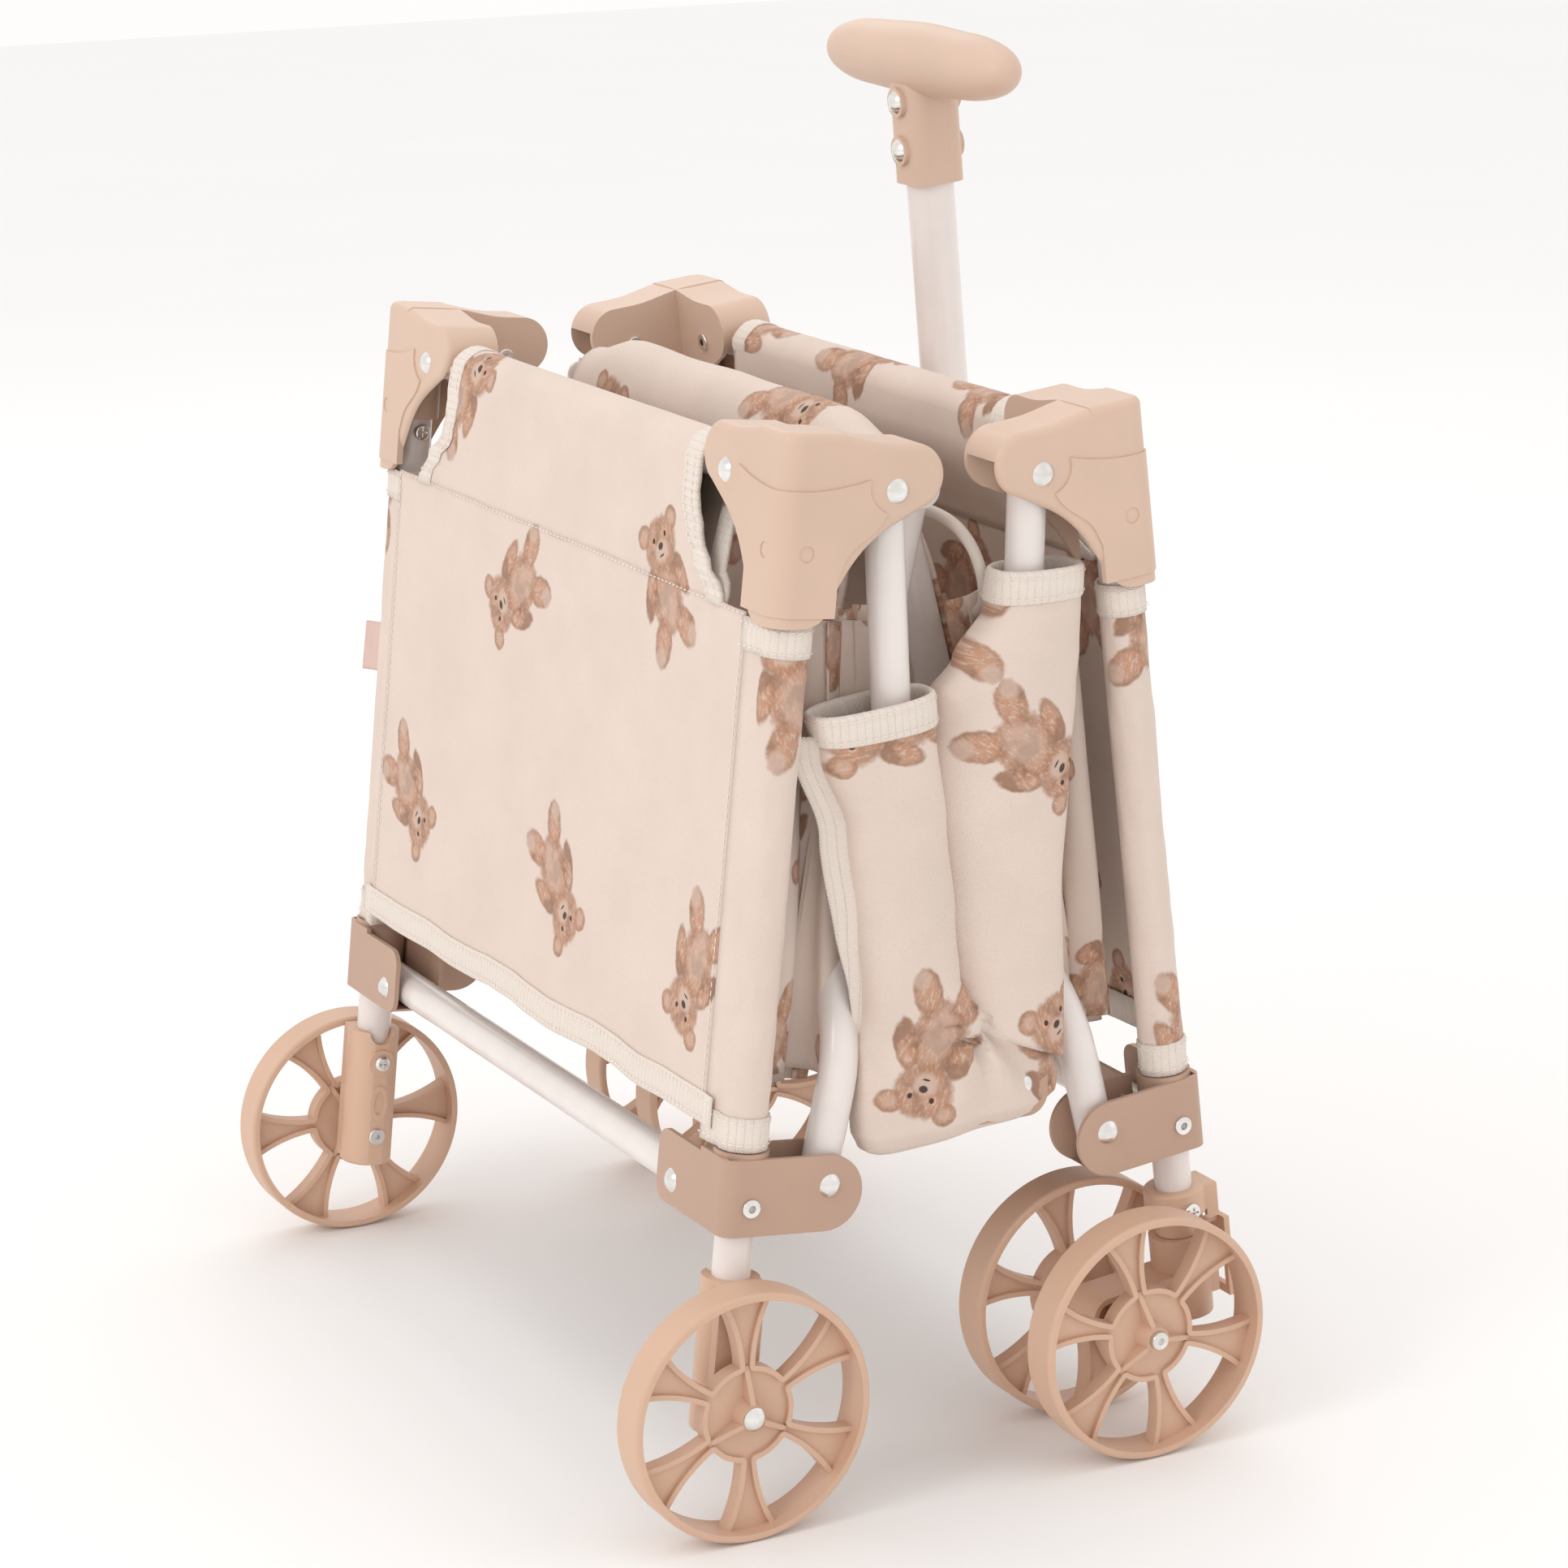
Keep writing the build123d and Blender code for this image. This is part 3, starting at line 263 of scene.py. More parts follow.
def steel_material():
    net = Net("bright rivet steel")
    spot = net.place()
    scratch = net.noise(spot, 1300.0, 4.0, 0.7)
    cloud = net.noise(spot, 130.0, 2.0)
    base = net.mix(cloud.ramp(0.35, 0.7), (0.74, 0.72, 0.70, 1), (0.86, 0.845, 0.82, 1))
    return net.set(
        Base_Color=base, Metallic=1.0, Roughness=scratch * 0.22 + 0.1, Normal=net.bump(scratch, 0.07, 0.0002)
    )


# Weave scales, in metres
THREAD_PITCH = 0.0009
SATIN_PITCH = 0.0006
CHEVRON_PITCH = 0.0066
TWILL_PITCH = 0.0013
BRAID_PITCH = 0.0026


def weave(net, uv, pitch):
    """Height of a plain weave from cloth coordinates in metres."""
    across, along = net.split(uv)
    turn = 2 * math.pi / pitch
    warp, weft = (across * turn).sin(), (along * turn).sin()
    return warp * weft * 0.5 + (across * (turn * 0.5)).sin() * (along * (turn * 0.5)).sin() * 0.25 + 0.5


# A seated bear in bear heights, nose up: centre x, y, half sizes, turn in degrees, tone
BEAR_LIMBS = (
    (-0.19, 0.36, 0.085, 0.080, 0, 0.62),
    (0.19, 0.36, 0.085, 0.080, 0, 0.62),
    (0.0, -0.10, 0.205, 0.25, 0, 0.30),
    (-0.215, -0.02, 0.075, 0.175, -24, 0.62),
    (0.215, -0.02, 0.075, 0.175, 24, 0.62),
    (-0.165, -0.36, 0.105, 0.170, -32, 0.50),
    (0.165, -0.36, 0.105, 0.170, 32, 0.50),
    (0.0, 0.25, 0.205, 0.180, 0, 0.38),
)
BEAR_LIGHTS = (
    (0.0, -0.14, 0.115, 0.165, 0.55),
    (-0.235, -0.435, 0.062, 0.066, 0.85),
    (0.235, -0.435, 0.062, 0.066, 0.85),
    (0.0, 0.20, 0.088, 0.070, 0.95),
    (-0.19, 0.36, 0.045, 0.042, 0.5),
    (0.19, 0.36, 0.045, 0.042, 0.5),
)
BEAR_DARKS = (
    (0.0, 0.235, 0.032, 0.024),
    (-0.078, 0.295, 0.017, 0.019),
    (0.078, 0.295, 0.017, 0.019),
    (0.0, 0.172, 0.030, 0.007),
)


FACE_DARK = (0.035, 0.018, 0.014, 1.0)


def bear_print(net, ground):
    """The ground colour with a watercolour bear from the piece's Print map."""
    spot = net.place("Print")
    x, y = net.split(spot)
    wobble = net.noise(spot, 16.0, 3.0, 0.6)
    strokes = net.node("ShaderNodeMapping", None, Vector=spot, Scale=(2.6, 1.0, 1.0))
    fur = net.noise(strokes, 21.0, 4.0, 0.72)
    wash = net.noise(spot, 5.0, 3.0, 0.6)

    def inside(cx, cy, rx, ry, turn=0.0, soft=0.13, rough=0.34):
        c, s = math.cos(math.radians(turn)), math.sin(math.radians(turn))
        dx, dy = x - cx, y - cy
        a = (dx * c + dy * s) / rx
        b = (dy * c - dx * s) / ry
        reach = (a * a + b * b).sqrt() + (wobble - 0.5) * rough
        return 1.0 - reach.ramp(1.0 - soft, 1.0 + soft), reach

    fur_dark = rgba(colours().fur, 0.56)
    fur_mid = rgba(colours().fur, 1.08)
    fur_light = rgba([0.35 * brown + 0.65 * cream for brown, cream in zip(colours().fur, colours().cloth)])
    coat = net.mix(fur.ramp(0.46, 0.66), fur_mid, fur_light)
    coat = net.mix(wash.ramp(0.46, 0.62) * 0.75, coat, fur_dark)
    painted = ground
    for cx, cy, rx, ry, turn, tone in BEAR_LIMBS:
        mask, reach = inside(cx, cy, rx, ry, turn)
        edge = reach.ramp(0.55, 1.02)
        limb = net.mix(edge * tone, coat, fur_dark)
        painted = net.mix(mask * (fur * 0.3 + 0.78).min(1.0), painted, limb)
    for cx, cy, rx, ry, strength in BEAR_LIGHTS:
        mask, _ = inside(cx, cy, rx, ry, 0, 0.3, 0.3)
        painted = net.mix(mask * (1.15 - fur * 0.8) * strength, painted, fur_light)
    for cx, cy, rx, ry in BEAR_DARKS:
        mask, _ = inside(cx, cy, rx, ry, 0, 0.25, 0.2)
        painted = net.mix(mask * 0.92, painted, FACE_DARK)
    return painted


def cloth_material(name, printed):
    net = Net(name)
    uv = net.place("Cloth")
    ground = colours().cloth if printed else colours().lining
    ground_light, ground_dark = rgba(ground, 1.015), rgba(ground, 0.955)
    blotch = net.noise(uv, 22.0, 3.0, 0.6)
    slub = net.noise(uv, 700.0, 2.0, 0.6)
    base = net.mix(blotch.ramp(0.3, 0.7), ground_dark, ground_light)
    base = net.mix(slub.ramp(0.45, 0.7) * 0.25, base, rgba(colours().cloth, 0.90))
    if printed:
        base = bear_print(net, base)
    height = weave(net, uv, THREAD_PITCH) * 0.6 + slub * 0.5
    puckers = net.noise(uv, 60.0, 3.0, 0.5)
    normal = net.bump(height * 0.4 + puckers * 1.4, 0.35, 0.0006)
    return net.set(
        Base_Color=base,
        Roughness=slub * 0.12 + 0.76,
        Specular_IOR_Level=0.25,
        Sheen_Weight=0.12,
        Sheen_Roughness=0.4,
        Normal=normal,
    )


def tape_material():
    """Herringbone twill: the slant changes side every few millimetres along the width, with painted shade in
    its grooves and painted highlight on its ridges.
    """
    net = Net("cream twill tape")
    uv = net.place("Cloth")
    across, along = net.split(uv)
    chevron = (across * (2 * math.pi / CHEVRON_PITCH)).sin().ramp(-0.2, 0.2) * 2.0 - 1.0
    twill = ((along + across * chevron * 1.1) * (2 * math.pi / TWILL_PITCH)).sin()
    fuzz = net.noise(uv, 900.0, 3.0, 0.6)
    # painted shade and highlight: the twill's grooves are coloured darker and its ridges lighter, following
    # its relief
    base = net.mix(twill.ramp(-0.8, 0.8), rgba(colours().tape, 0.93), rgba(colours().tape, 1.03))
    base = net.mix(fuzz.ramp(0.5, 0.75) * 0.2, base, rgba(colours().tape, 0.92))
    normal = net.bump(twill * 0.5 + fuzz * 0.6, 0.5, 0.0005)
    return net.set(
        Base_Color=base, Roughness=fuzz * 0.1 + 0.8, Specular_IOR_Level=0.2, Sheen_Weight=0.15, Normal=normal
    )


def thread_material():
    net = Net("sewing thread")
    fuzz = net.noise(net.place(), 2500.0, 2.0)
    base = net.mix(fuzz.ramp(0.4, 0.7), rgba(colours().tape, 0.97), rgba(colours().tape, 1.09))
    return net.set(Base_Color=base, Roughness=fuzz * 0.15 + 0.6, Normal=net.bump(fuzz, 0.3, 0.0002))


def cord_material():
    """Braided cord: two crossing helices along the cord's own map, with painted shade between the strands and
    painted highlight on their crowns.
    """
    net = Net("cream braid")
    across, along = net.split(net.place("Cloth"))
    turn = 2 * math.pi / BRAID_PITCH
    one = ((along + across * 0.8) * turn).sin()
    two = ((along - across * 0.8) * turn).sin()
    braid = one.max(two)
    # painted shade and highlight: the cord is coloured darker between the strands and lighter on their crowns
    base = net.mix(braid.ramp(-0.2, 0.9), rgba(colours().tape, 0.86), rgba(colours().tape, 1.06))
    return net.set(Base_Color=base, Roughness=braid * 0.05 + 0.75, Normal=net.bump(braid, 0.5, 0.0006))


def label_material():
    net = Net("blank woven label")
    uv = net.place("Cloth")
    satin = weave(net, uv, SATIN_PITCH)
    # painted shade and highlight: the weave's low threads are coloured darker and its raised threads lighter,
    # following its relief
    base = net.mix(satin.ramp(0.2, 0.8), rgba(colours().label, 0.94), rgba(colours().label, 1.05))
    return net.set(Base_Color=base, Roughness=satin * 0.1 + 0.5, Normal=net.bump(satin, 0.3, 0.0003))


def stage_material():
    net = Net("pale stage")
    soft = net.noise(net.place(), 3.0, 2.0)
    base = net.mix(soft, (0.93, 0.925, 0.92, 1), (0.95, 0.945, 0.94, 1))
    return net.set(Base_Color=base, Roughness=soft * 0.05 + 0.85, Specular_IOR_Level=0.1)


MATERIALS = {}


def material(name):
    """Each finish is made once, when it is first used."""
    makers = {
        "paint": paint_material,
        "caps": lambda: plastic_material("beige cap plastic", colours().caps, 0.42),
        "brackets": lambda: plastic_material("tan bracket plastic", colours().brackets, 0.46),
        "wheels": lambda: plastic_material("beige wheel plastic", colours().wheels, 0.44),
        "steel": steel_material,
        "print": lambda: cloth_material("printed cloth", True),
        "lining": lambda: cloth_material("plain lining", False),
        "tape": tape_material,
        "thread": thread_material,
        "cord": cord_material,
        "label": label_material,
        "stage": stage_material,
    }
    if name not in MATERIALS:
        MATERIALS[name] = makers[name]()
    return MATERIALS[name]


# ---- Cloth geometry ----
def end_point(end, u, y, h):
    """A point of an end frame: u into the wagon from the leg, h up the leg from the lower rivet."""
    x = end * (HALF_SPREAD - u * math.cos(LEAN) - h * math.sin(LEAN))
    return Vector((x, y, RIVET_Z - u * math.sin(LEAN) + h * math.cos(LEAN)))


def smooth(t):
    t = min(max(t, 0.0), 1.0)
    return t * t * (3 - 2 * t)


def curve_through(stops, t):
    """Value at t through sorted (t, value) stops, smooth between them."""
    if t <= stops[0][0]:
        return stops[0][1]
    for (t0, a), (t1, b) in zip(stops, stops[1:]):
        if t <= t1:
            return a + (b - a) * smooth((t - t0) / (t1 - t0))
    return stops[-1][1]


def ripple(point, size, seed):
    """Smooth value from -1 to 1 that changes over about size metres."""
    return noise.noise(Vector(point) / size + Vector((seed * 7.3, seed * 3.1, seed * 5.7)))


def steps(low, high, count):
    return [low + (high - low) * k / (count - 1) for k in range(count)]


OFF_PRINT = (9.0, 9.0)  # Print coordinates well away from the bear


def sheet_mesh(name, rows, ring=False, caps=False, bears=(), uvs=None):
    """A mesh over rows of points, with Cloth coordinates in metres and the Print map of the nearest bear."""
    count = len(rows[0])
    wide = count + 1 if ring else count
    if uvs is None:
        uvs = []
        along = 0.0
        for r, row in enumerate(rows):
            if r:
                along += sum((a - b).length for a, b in zip(row, rows[r - 1])) / count
            across = 0.0
            line = []
            for c in range(wide):
                if c:
                    across += (row[c % count] - row[c - 1]).length
                line.append((across, along))
            uvs.append(line)
    mesh = bpy.data.meshes.new(name)
    points = [p for row in rows for p in row]
    faces, corners = [], []
    for r in range(len(rows) - 1):
        for c in range(wide - 1):
            d = (c + 1) % count
            faces.append((r * count + c, r * count + d, (r + 1) * count + d, (r + 1) * count + c))
            corners.append((uvs[r][c], uvs[r][c + 1], uvs[r + 1][c + 1], uvs[r + 1][c]))
    if caps:
        last = (len(rows) - 1) * count
        middle = sum(rows[-1], Vector()) / count
        points.append(middle)
        for c in range(count):
            faces.append((last + c, last + (c + 1) % count, len(points) - 1))
            corners.append((uvs[-1][c], uvs[-1][c + 1], uvs[-1][c]))
    mesh.from_pydata([tuple(p) for p in points], [], faces)
    cloth = mesh.uv_layers.new(name="Cloth")
    printed = mesh.uv_layers.new(name="Print")
    scale = sizes().bear
    for face, corner in zip(mesh.polygons, corners):
        mu = sum(c[0] for c in corner) / len(corner)
        mv = sum(c[1] for c in corner) / len(corner)
        near = min(bears, key=lambda b: (b[0] - mu) ** 2 + (b[1] - mv) ** 2, default=None)
        for loop, (cu, cv) in zip(face.loop_indices, corner):
            cloth.data[loop].uv = (cu, cv)
            if near:
                c, s = math.cos(math.radians(near[2])), math.sin(math.radians(near[2]))
                du, dv = (cu - near[0]) / scale, (cv - near[1]) / scale
                printed.data[loop].uv = (du * c + dv * s, dv * c - du * s)
            else:
                printed.data[loop].uv = OFF_PRINT
        face.use_smooth = True
    made = bpy.data.objects.new(name, mesh)
    bpy.context.scene.collection.objects.link(made)
    return made


def thicken(made, thick):
    """Live thickness, half on each side of a finished sheet."""
    solid = made.modifiers.new("Cloth", "SOLIDIFY")
    solid.thickness = thick
    solid.offset = 0.0


def dress(made, finish, slot_name, body=None, *replaced):
    """Finish of a piece, the body it rides on and the nodes it stands for; its slot name is not used."""
    made.data.materials.append(material(finish))
    if body:
        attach(made, body)
    if replaced:
        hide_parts(*replaced)


def scattered(seed, u0, u1, v0, v1, pitch=0.098):
    """Loosely spread bears over a piece of cloth, each turned its own way."""
    luck = random.Random(seed)
    found = []
    row = 0
    v = v0 + luck.uniform(0.1, 0.6) * pitch
    while v < v1 + pitch / 2:
        u = u0 + (0.2 + 0.5 * (row % 2) + luck.uniform(-0.12, 0.12)) * pitch
        while u < u1 + pitch / 2:
            raised = v + luck.uniform(-0.015, 0.015)
            found.append((u, raised, luck.choice((8, 62, 118, 176, 236, 301)) + luck.uniform(-14, 14)))
            u += pitch * luck.uniform(0.95, 1.15)
        v += pitch * 0.86
        row += 1
    return found


# ---- Stitches ----
def stitch_tree():
    """Short rounded stitches laid end to end along a path."""
    tree = bpy.data.node_groups.new("Stitch row", "GeometryNodeTree")
    face = tree.interface
    face.new_socket("Path", in_out="INPUT", socket_type="NodeSocketGeometry")
    pitch = face.new_socket("Pitch", in_out="INPUT", socket_type="NodeSocketFloat")
    length = face.new_socket("Length", in_out="INPUT", socket_type="NodeSocketFloat")
    thick = face.new_socket("Thickness", in_out="INPUT", socket_type="NodeSocketFloat")
    face.new_socket("Stitches", in_out="OUTPUT", socket_type="NodeSocketGeometry")
    pitch.default_value, length.default_value, thick.default_value = 0.0036, 0.0026, 0.0005

    def add(kind, **settings):
        made = tree.nodes.new(kind)
        for key, value in settings.items():
            setattr(made, key, value)
        return made

    start, end = add("NodeGroupInput"), add("NodeGroupOutput")
    link = tree.links.new
    line = add("GeometryNodeMeshToCurve")
    even = add("GeometryNodeResampleCurve", mode="LENGTH")
    stitch = add("GeometryNodeMeshUVSphere")
    stitch.inputs["Segments"].default_value = 6
    stitch.inputs["Rings"].default_value = 4
    stitch.inputs["Radius"].default_value = 0.5
    shape = add("GeometryNodeTransform")
    size = add("ShaderNodeCombineXYZ")
    tangent = add("GeometryNodeInputTangent")
    turn = add("FunctionNodeAlignRotationToVector", axis="Z")
    lay = add("GeometryNodeInstanceOnPoints")
    real = add("GeometryNodeRealizeInstances")
    colour = add("GeometryNodeSetMaterial")
    colour.inputs["Material"].default_value = material("thread")
    link(start.outputs["Path"], line.inputs["Mesh"])
    link(line.outputs["Curve"], even.inputs["Curve"])
    link(start.outputs["Pitch"], even.inputs["Length"])
    link(start.outputs["Thickness"], size.inputs["X"])
    link(start.outputs["Thickness"], size.inputs["Y"])
    link(start.outputs["Length"], size.inputs["Z"])
    link(stitch.outputs["Mesh"], shape.inputs["Geometry"])
    link(size.outputs["Vector"], shape.inputs["Scale"])
    link(tangent.outputs["Tangent"], turn.inputs["Vector"])
    link(even.outputs["Curve"], lay.inputs["Points"])
    link(shape.outputs["Geometry"], lay.inputs["Instance"])
    link(turn.outputs["Rotation"], lay.inputs["Rotation"])
    link(lay.outputs["Instances"], real.inputs["Geometry"])
    link(real.outputs["Geometry"], colour.inputs["Geometry"])
    link(colour.outputs["Geometry"], end.inputs["Stitches"])
    return tree, {"Pitch": pitch.identifier, "Length": length.identifier, "Thickness": thick.identifier}


STITCHING = []


def stitch_rows(name, lines):
    """A plain mesh of stitches along several lines of points."""
    if not STITCHING:
        STITCHING.append(stitch_tree())
    tree, sockets = STITCHING[0]
    mesh = bpy.data.meshes.new(name)
    points, edges = [], []
    for line in lines:
        first = len(points)
        points += [tuple(p) for p in line]
        edges += [(first + k, first + k + 1) for k in range(len(line) - 1)]
    mesh.from_pydata(points, edges, [])
    path = bpy.data.objects.new(name + " path", mesh)
    bpy.context.scene.collection.objects.link(path)
    rows = path.modifiers.new("Stitches", "NODES")
    rows.node_group = tree
    rows[sockets["Pitch"]] = sizes().stitch
    rows[sockets["Length"]] = sizes().stitch * 0.72
    rows[sockets["Thickness"]] = 0.00055
    graph = bpy.context.evaluated_depsgraph_get()
    result = bpy.data.meshes.new_from_object(path.evaluated_get(graph))
    bpy.data.objects.remove(path)
    result.name = name
    if not result.materials:
        result.materials.append(material("thread"))
    made = bpy.data.objects.new(name, result)
    bpy.context.scene.collection.objects.link(made)
    return made


# ---- End panels ----
END_NAMES = {REAR: "rear", FRONT: "front"}
SIDE_NAMES = {RIGHT: "right", LEFT: "left"}
PANEL_FACE = 0.0107  # leg axis to the panel's outer face
SEAM_Y = 0.172  # middle to the seam beside each leg sleeve
HEM_H = 0.236  # seam of the top hem, up the leg
HEM_ROUND = 0.0104  # radius of the hem over the top tube
SLEEVE_FOOT, SLEEVE_HEAD = 0.0235, 0.2355
TAPE_LAYER = 0.0009
HEM_EDGE = (
    # height up the leg, half width of the panel there
    (0.236, 0.1525),
    (0.241, 0.150),
    (0.250, 0.1400),
    (0.262, 0.1285),
    (0.275, 0.1240),
    (0.3015, 0.1235),
)
REAR_BEARS = (
    # across, up the panel, turn in degrees
    (-0.102, 0.237, 330),
    (0.041, 0.206, 236),
    (0.137, 0.093, 128),
    (-0.021, 0.090, 139),
    (-0.153, 0.085, 203),
    (0.108, 0.285, 47),
)


def panel_wave(end, y, h):
    """How far the stretched panel leans out of its plane."""
    corner = math.exp(-((abs(y) - 0.15) ** 2 + (h - 0.24) ** 2) / 0.0016)
    pull = math.sin((abs(y) * 0.7 - h) * 170) * corner * 0.0009
    foot = math.sin(y * 46 + end) * 0.0012 * smooth((0.075 - h) / 0.05)
    return ripple((y, h, end), 0.085, 2) * 0.0014 + ripple((y, h, end), 0.03, 5) * 0.0004 + pull + foot


def panel_point(end, y, h, lift=0.0):
    fade = smooth((0.176 - abs(y)) / 0.012)
    return end_point(end, -PANEL_FACE - lift + panel_wave(end, y, h) * fade, y, h)


def hem_half(h):
    return curve_through(HEM_EDGE, h)


def hem_profile():
    """Outer face, over the top tube and down inside: (u, h, width height) stops."""
    outer = [(-PANEL_FACE, h) for h in steps(HEM_H, CAP_RISE, 14)]
    turns = steps(0.15, math.pi - 0.15, 11)
    over = [(-HEM_ROUND * math.cos(a), CAP_RISE + HEM_ROUND * math.sin(a)) for a in turns]
    inner = [
        (
            0.0100 - 0.0195 * smooth(k) + 0.0035 * math.sin(k * math.pi),
            CAP_RISE - 0.004 - (CAP_RISE - HEM_H - 0.004) * k,
        )
        for k in steps(0.02, 1.0, 13)
    ]
    return outer + over + inner


def sleeve_loop(end, side, h, grow=0.0):
    """Cross-section of a leg sleeve: round the leg and back to its seam on the panel."""
    slack = 0.0004 + 0.0008 * (0.5 + 0.5 * ripple((h, side, end), 0.05, 9))
    radius = 0.0087 + slack * 0.5 + grow
    loop = [(-PANEL_FACE - grow * 0.8, SEAM_Y - LEG_Y), (-0.0097 - grow, -0.0085), (-radius * 0.96, -0.0035)]
    for k in steps(-90, 90, 15):
        a = math.radians(k)
        bag = 0.0007 * ripple((h * 2, k / 90.0, side), 0.03, 4)
        loop.append(((radius + bag) * math.sin(a), (radius + bag) * math.cos(a)))
    loop += [(radius * 0.84, -0.0045), (0.001 + grow, -0.0105), (-0.0088 + grow, SEAM_Y - LEG_Y + 0.0005)]
    return [end_point(end, u, side * (LEG_Y + y), h) for u, y in loop]


class WAGON_OT_end_panels(bpy.types.Operator):
    """Printed end panels with a hem round the top tube and a sleeve round each leg"""

    bl_idname = "wagon.end_panels"
    bl_label = "End panels"

    def execute(self, context):
        for end in (REAR, FRONT):
            self.panel(end)
            self.hem(end)
            for side in (RIGHT, LEFT):
                self.sleeve(end, side)
            self.stitching(end)
        return {"FINISHED"}

    def bears(self, end):
        if end == REAR:
            return REAR_BEARS
        return scattered(31, -0.17, 0.17, 0.03, 0.30)

    def panel(self, end):
        heights = steps(0.0295, HEM_H + 0.002, 54)
        across = steps(-SEAM_Y - 0.001, SEAM_Y + 0.001, 86)
        rows = [[panel_point(end, y, h) for y in across] for h in heights]
        uvs = [[(y, h) for y in across] for h in heights]
        made = sheet_mesh(f"{END_NAMES[end]}_panel_cloth", rows, bears=self.bears(end), uvs=uvs)
        thicken(made, sizes().cloth)
        dress(made, "print", "fabric_print", f"{END_NAMES[end]}_frame", f"{END_NAMES[end]}_panel")

    def hem(self, end):
        rows, uvs = [], []
        along = HEM_H
        before = None
        for u, h in hem_profile():
            if before:
                along += math.hypot(u - before[0], h - before[1])
            before = (u, h)
            half = hem_half(h)
            wave = 1.0 if u < 0 and h < CAP_RISE else 0.4
            row = []
            for k in steps(-1, 1, 76):
                y = k * half
                out = panel_wave(end, y, h) * wave + 0.0005 * ripple((y, along, 3), 0.02, 6)
                row.append(end_point(end, u + out, y, h))
            rows.append(row)
            uvs.append([(k * half, along) for k in steps(-1, 1, 76)])
        made = sheet_mesh(f"{END_NAMES[end]}_panel_hem", rows, bears=self.bears(end), uvs=uvs)
        thicken(made, sizes().cloth)
        dress(made, "print", "fabric_print", f"{END_NAMES[end]}_frame")

    def sleeve(self, end, side):
        """A sleeve on one leg, taped at its head and foot."""
        rows = [sleeve_loop(end, side, h) for h in steps(SLEEVE_FOOT, SLEEVE_HEAD, 50)]
        bears = [(0.030, 0.190, 20)] if end == REAR else scattered(40 + side, 0, 0.08, 0.0, 0.21)
        name = f"{END_NAMES[end]}_leg_sleeve_{SIDE_NAMES[side]}"
        made = sheet_mesh(name, rows, ring=True, bears=bears)
        thicken(made, sizes().cloth)
        dress(made, "print", "fabric_print", f"{END_NAMES[end]}_frame")
        head = ("head", SLEEVE_HEAD - 0.0125, SLEEVE_HEAD + 0.001)
        foot = ("foot", SLEEVE_FOOT - 0.001, SLEEVE_FOOT + 0.013)
        for label, low, high in (head, foot):
            rows = [sleeve_loop(end, side, h, TAPE_LAYER) for h in steps(low, high, 5)]
            band = sheet_mesh(f"{name}_{label}_tape", rows, ring=True)
            thicken(band, sizes().tape_thick)
            dress(band, "tape", "fabric_plain", f"{END_NAMES[end]}_frame")

    def stitching(self, end):
        lift = 0.0008
        lines = [[panel_point(end, y, HEM_H + 0.001, lift) for y in steps(-SEAM_Y, SEAM_Y, 60)]]
        for side in (RIGHT, LEFT):
            seam = side * (SEAM_Y - 0.001)
            lines.append([panel_point(end, seam, h, lift) for h in steps(0.031, HEM_H, 50)])
            for h in (SLEEVE_HEAD - 0.0105, SLEEVE_HEAD - 0.0015, SLEEVE_FOOT + 0.002, SLEEVE_FOOT + 0.011):
                lines.append(sleeve_loop(end, side, h, 0.0019)[:21])
            heights = steps(HEM_H + 0.004, CAP_RISE + 0.001, 24)
            for inset in (0.0025, 0.0095):
                edge = [(side * (hem_half(h) - inset), h) for h in heights]
                lines.append([end_point(end, -PANEL_FACE - 0.0021, y, h) for y, h in edge])
        across = steps(-SEAM_Y, SEAM_Y, 70)
        for rise in (0.0022, 0.0108):
            lines.append([panel_point(end, y, foot_edge(y) + rise, 0.0019) for y in across])
        made = stitch_rows(f"{END_NAMES[end]}_panel_stitches", lines)
        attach(made, f"{END_NAMES[end]}_frame")


def foot_edge(y):
    """Height of the panel's slightly wavy lower edge."""
    return 0.0285 + 0.0008 * math.sin(y * 70) + 0.0006 * ripple((y, 0, 0), 0.02, 8)


NOTCH_FOLD = (
    # inset from the edge, lift off the cloth
    (0.0120, 0.0006),
    (0.0115, 0.0009),
    (0.0010, 0.0009),
    (0.0, 0.0006),
    (-0.0006, -0.0002),
    (0.0, -0.0010),
    (0.0118, -0.0013),
)


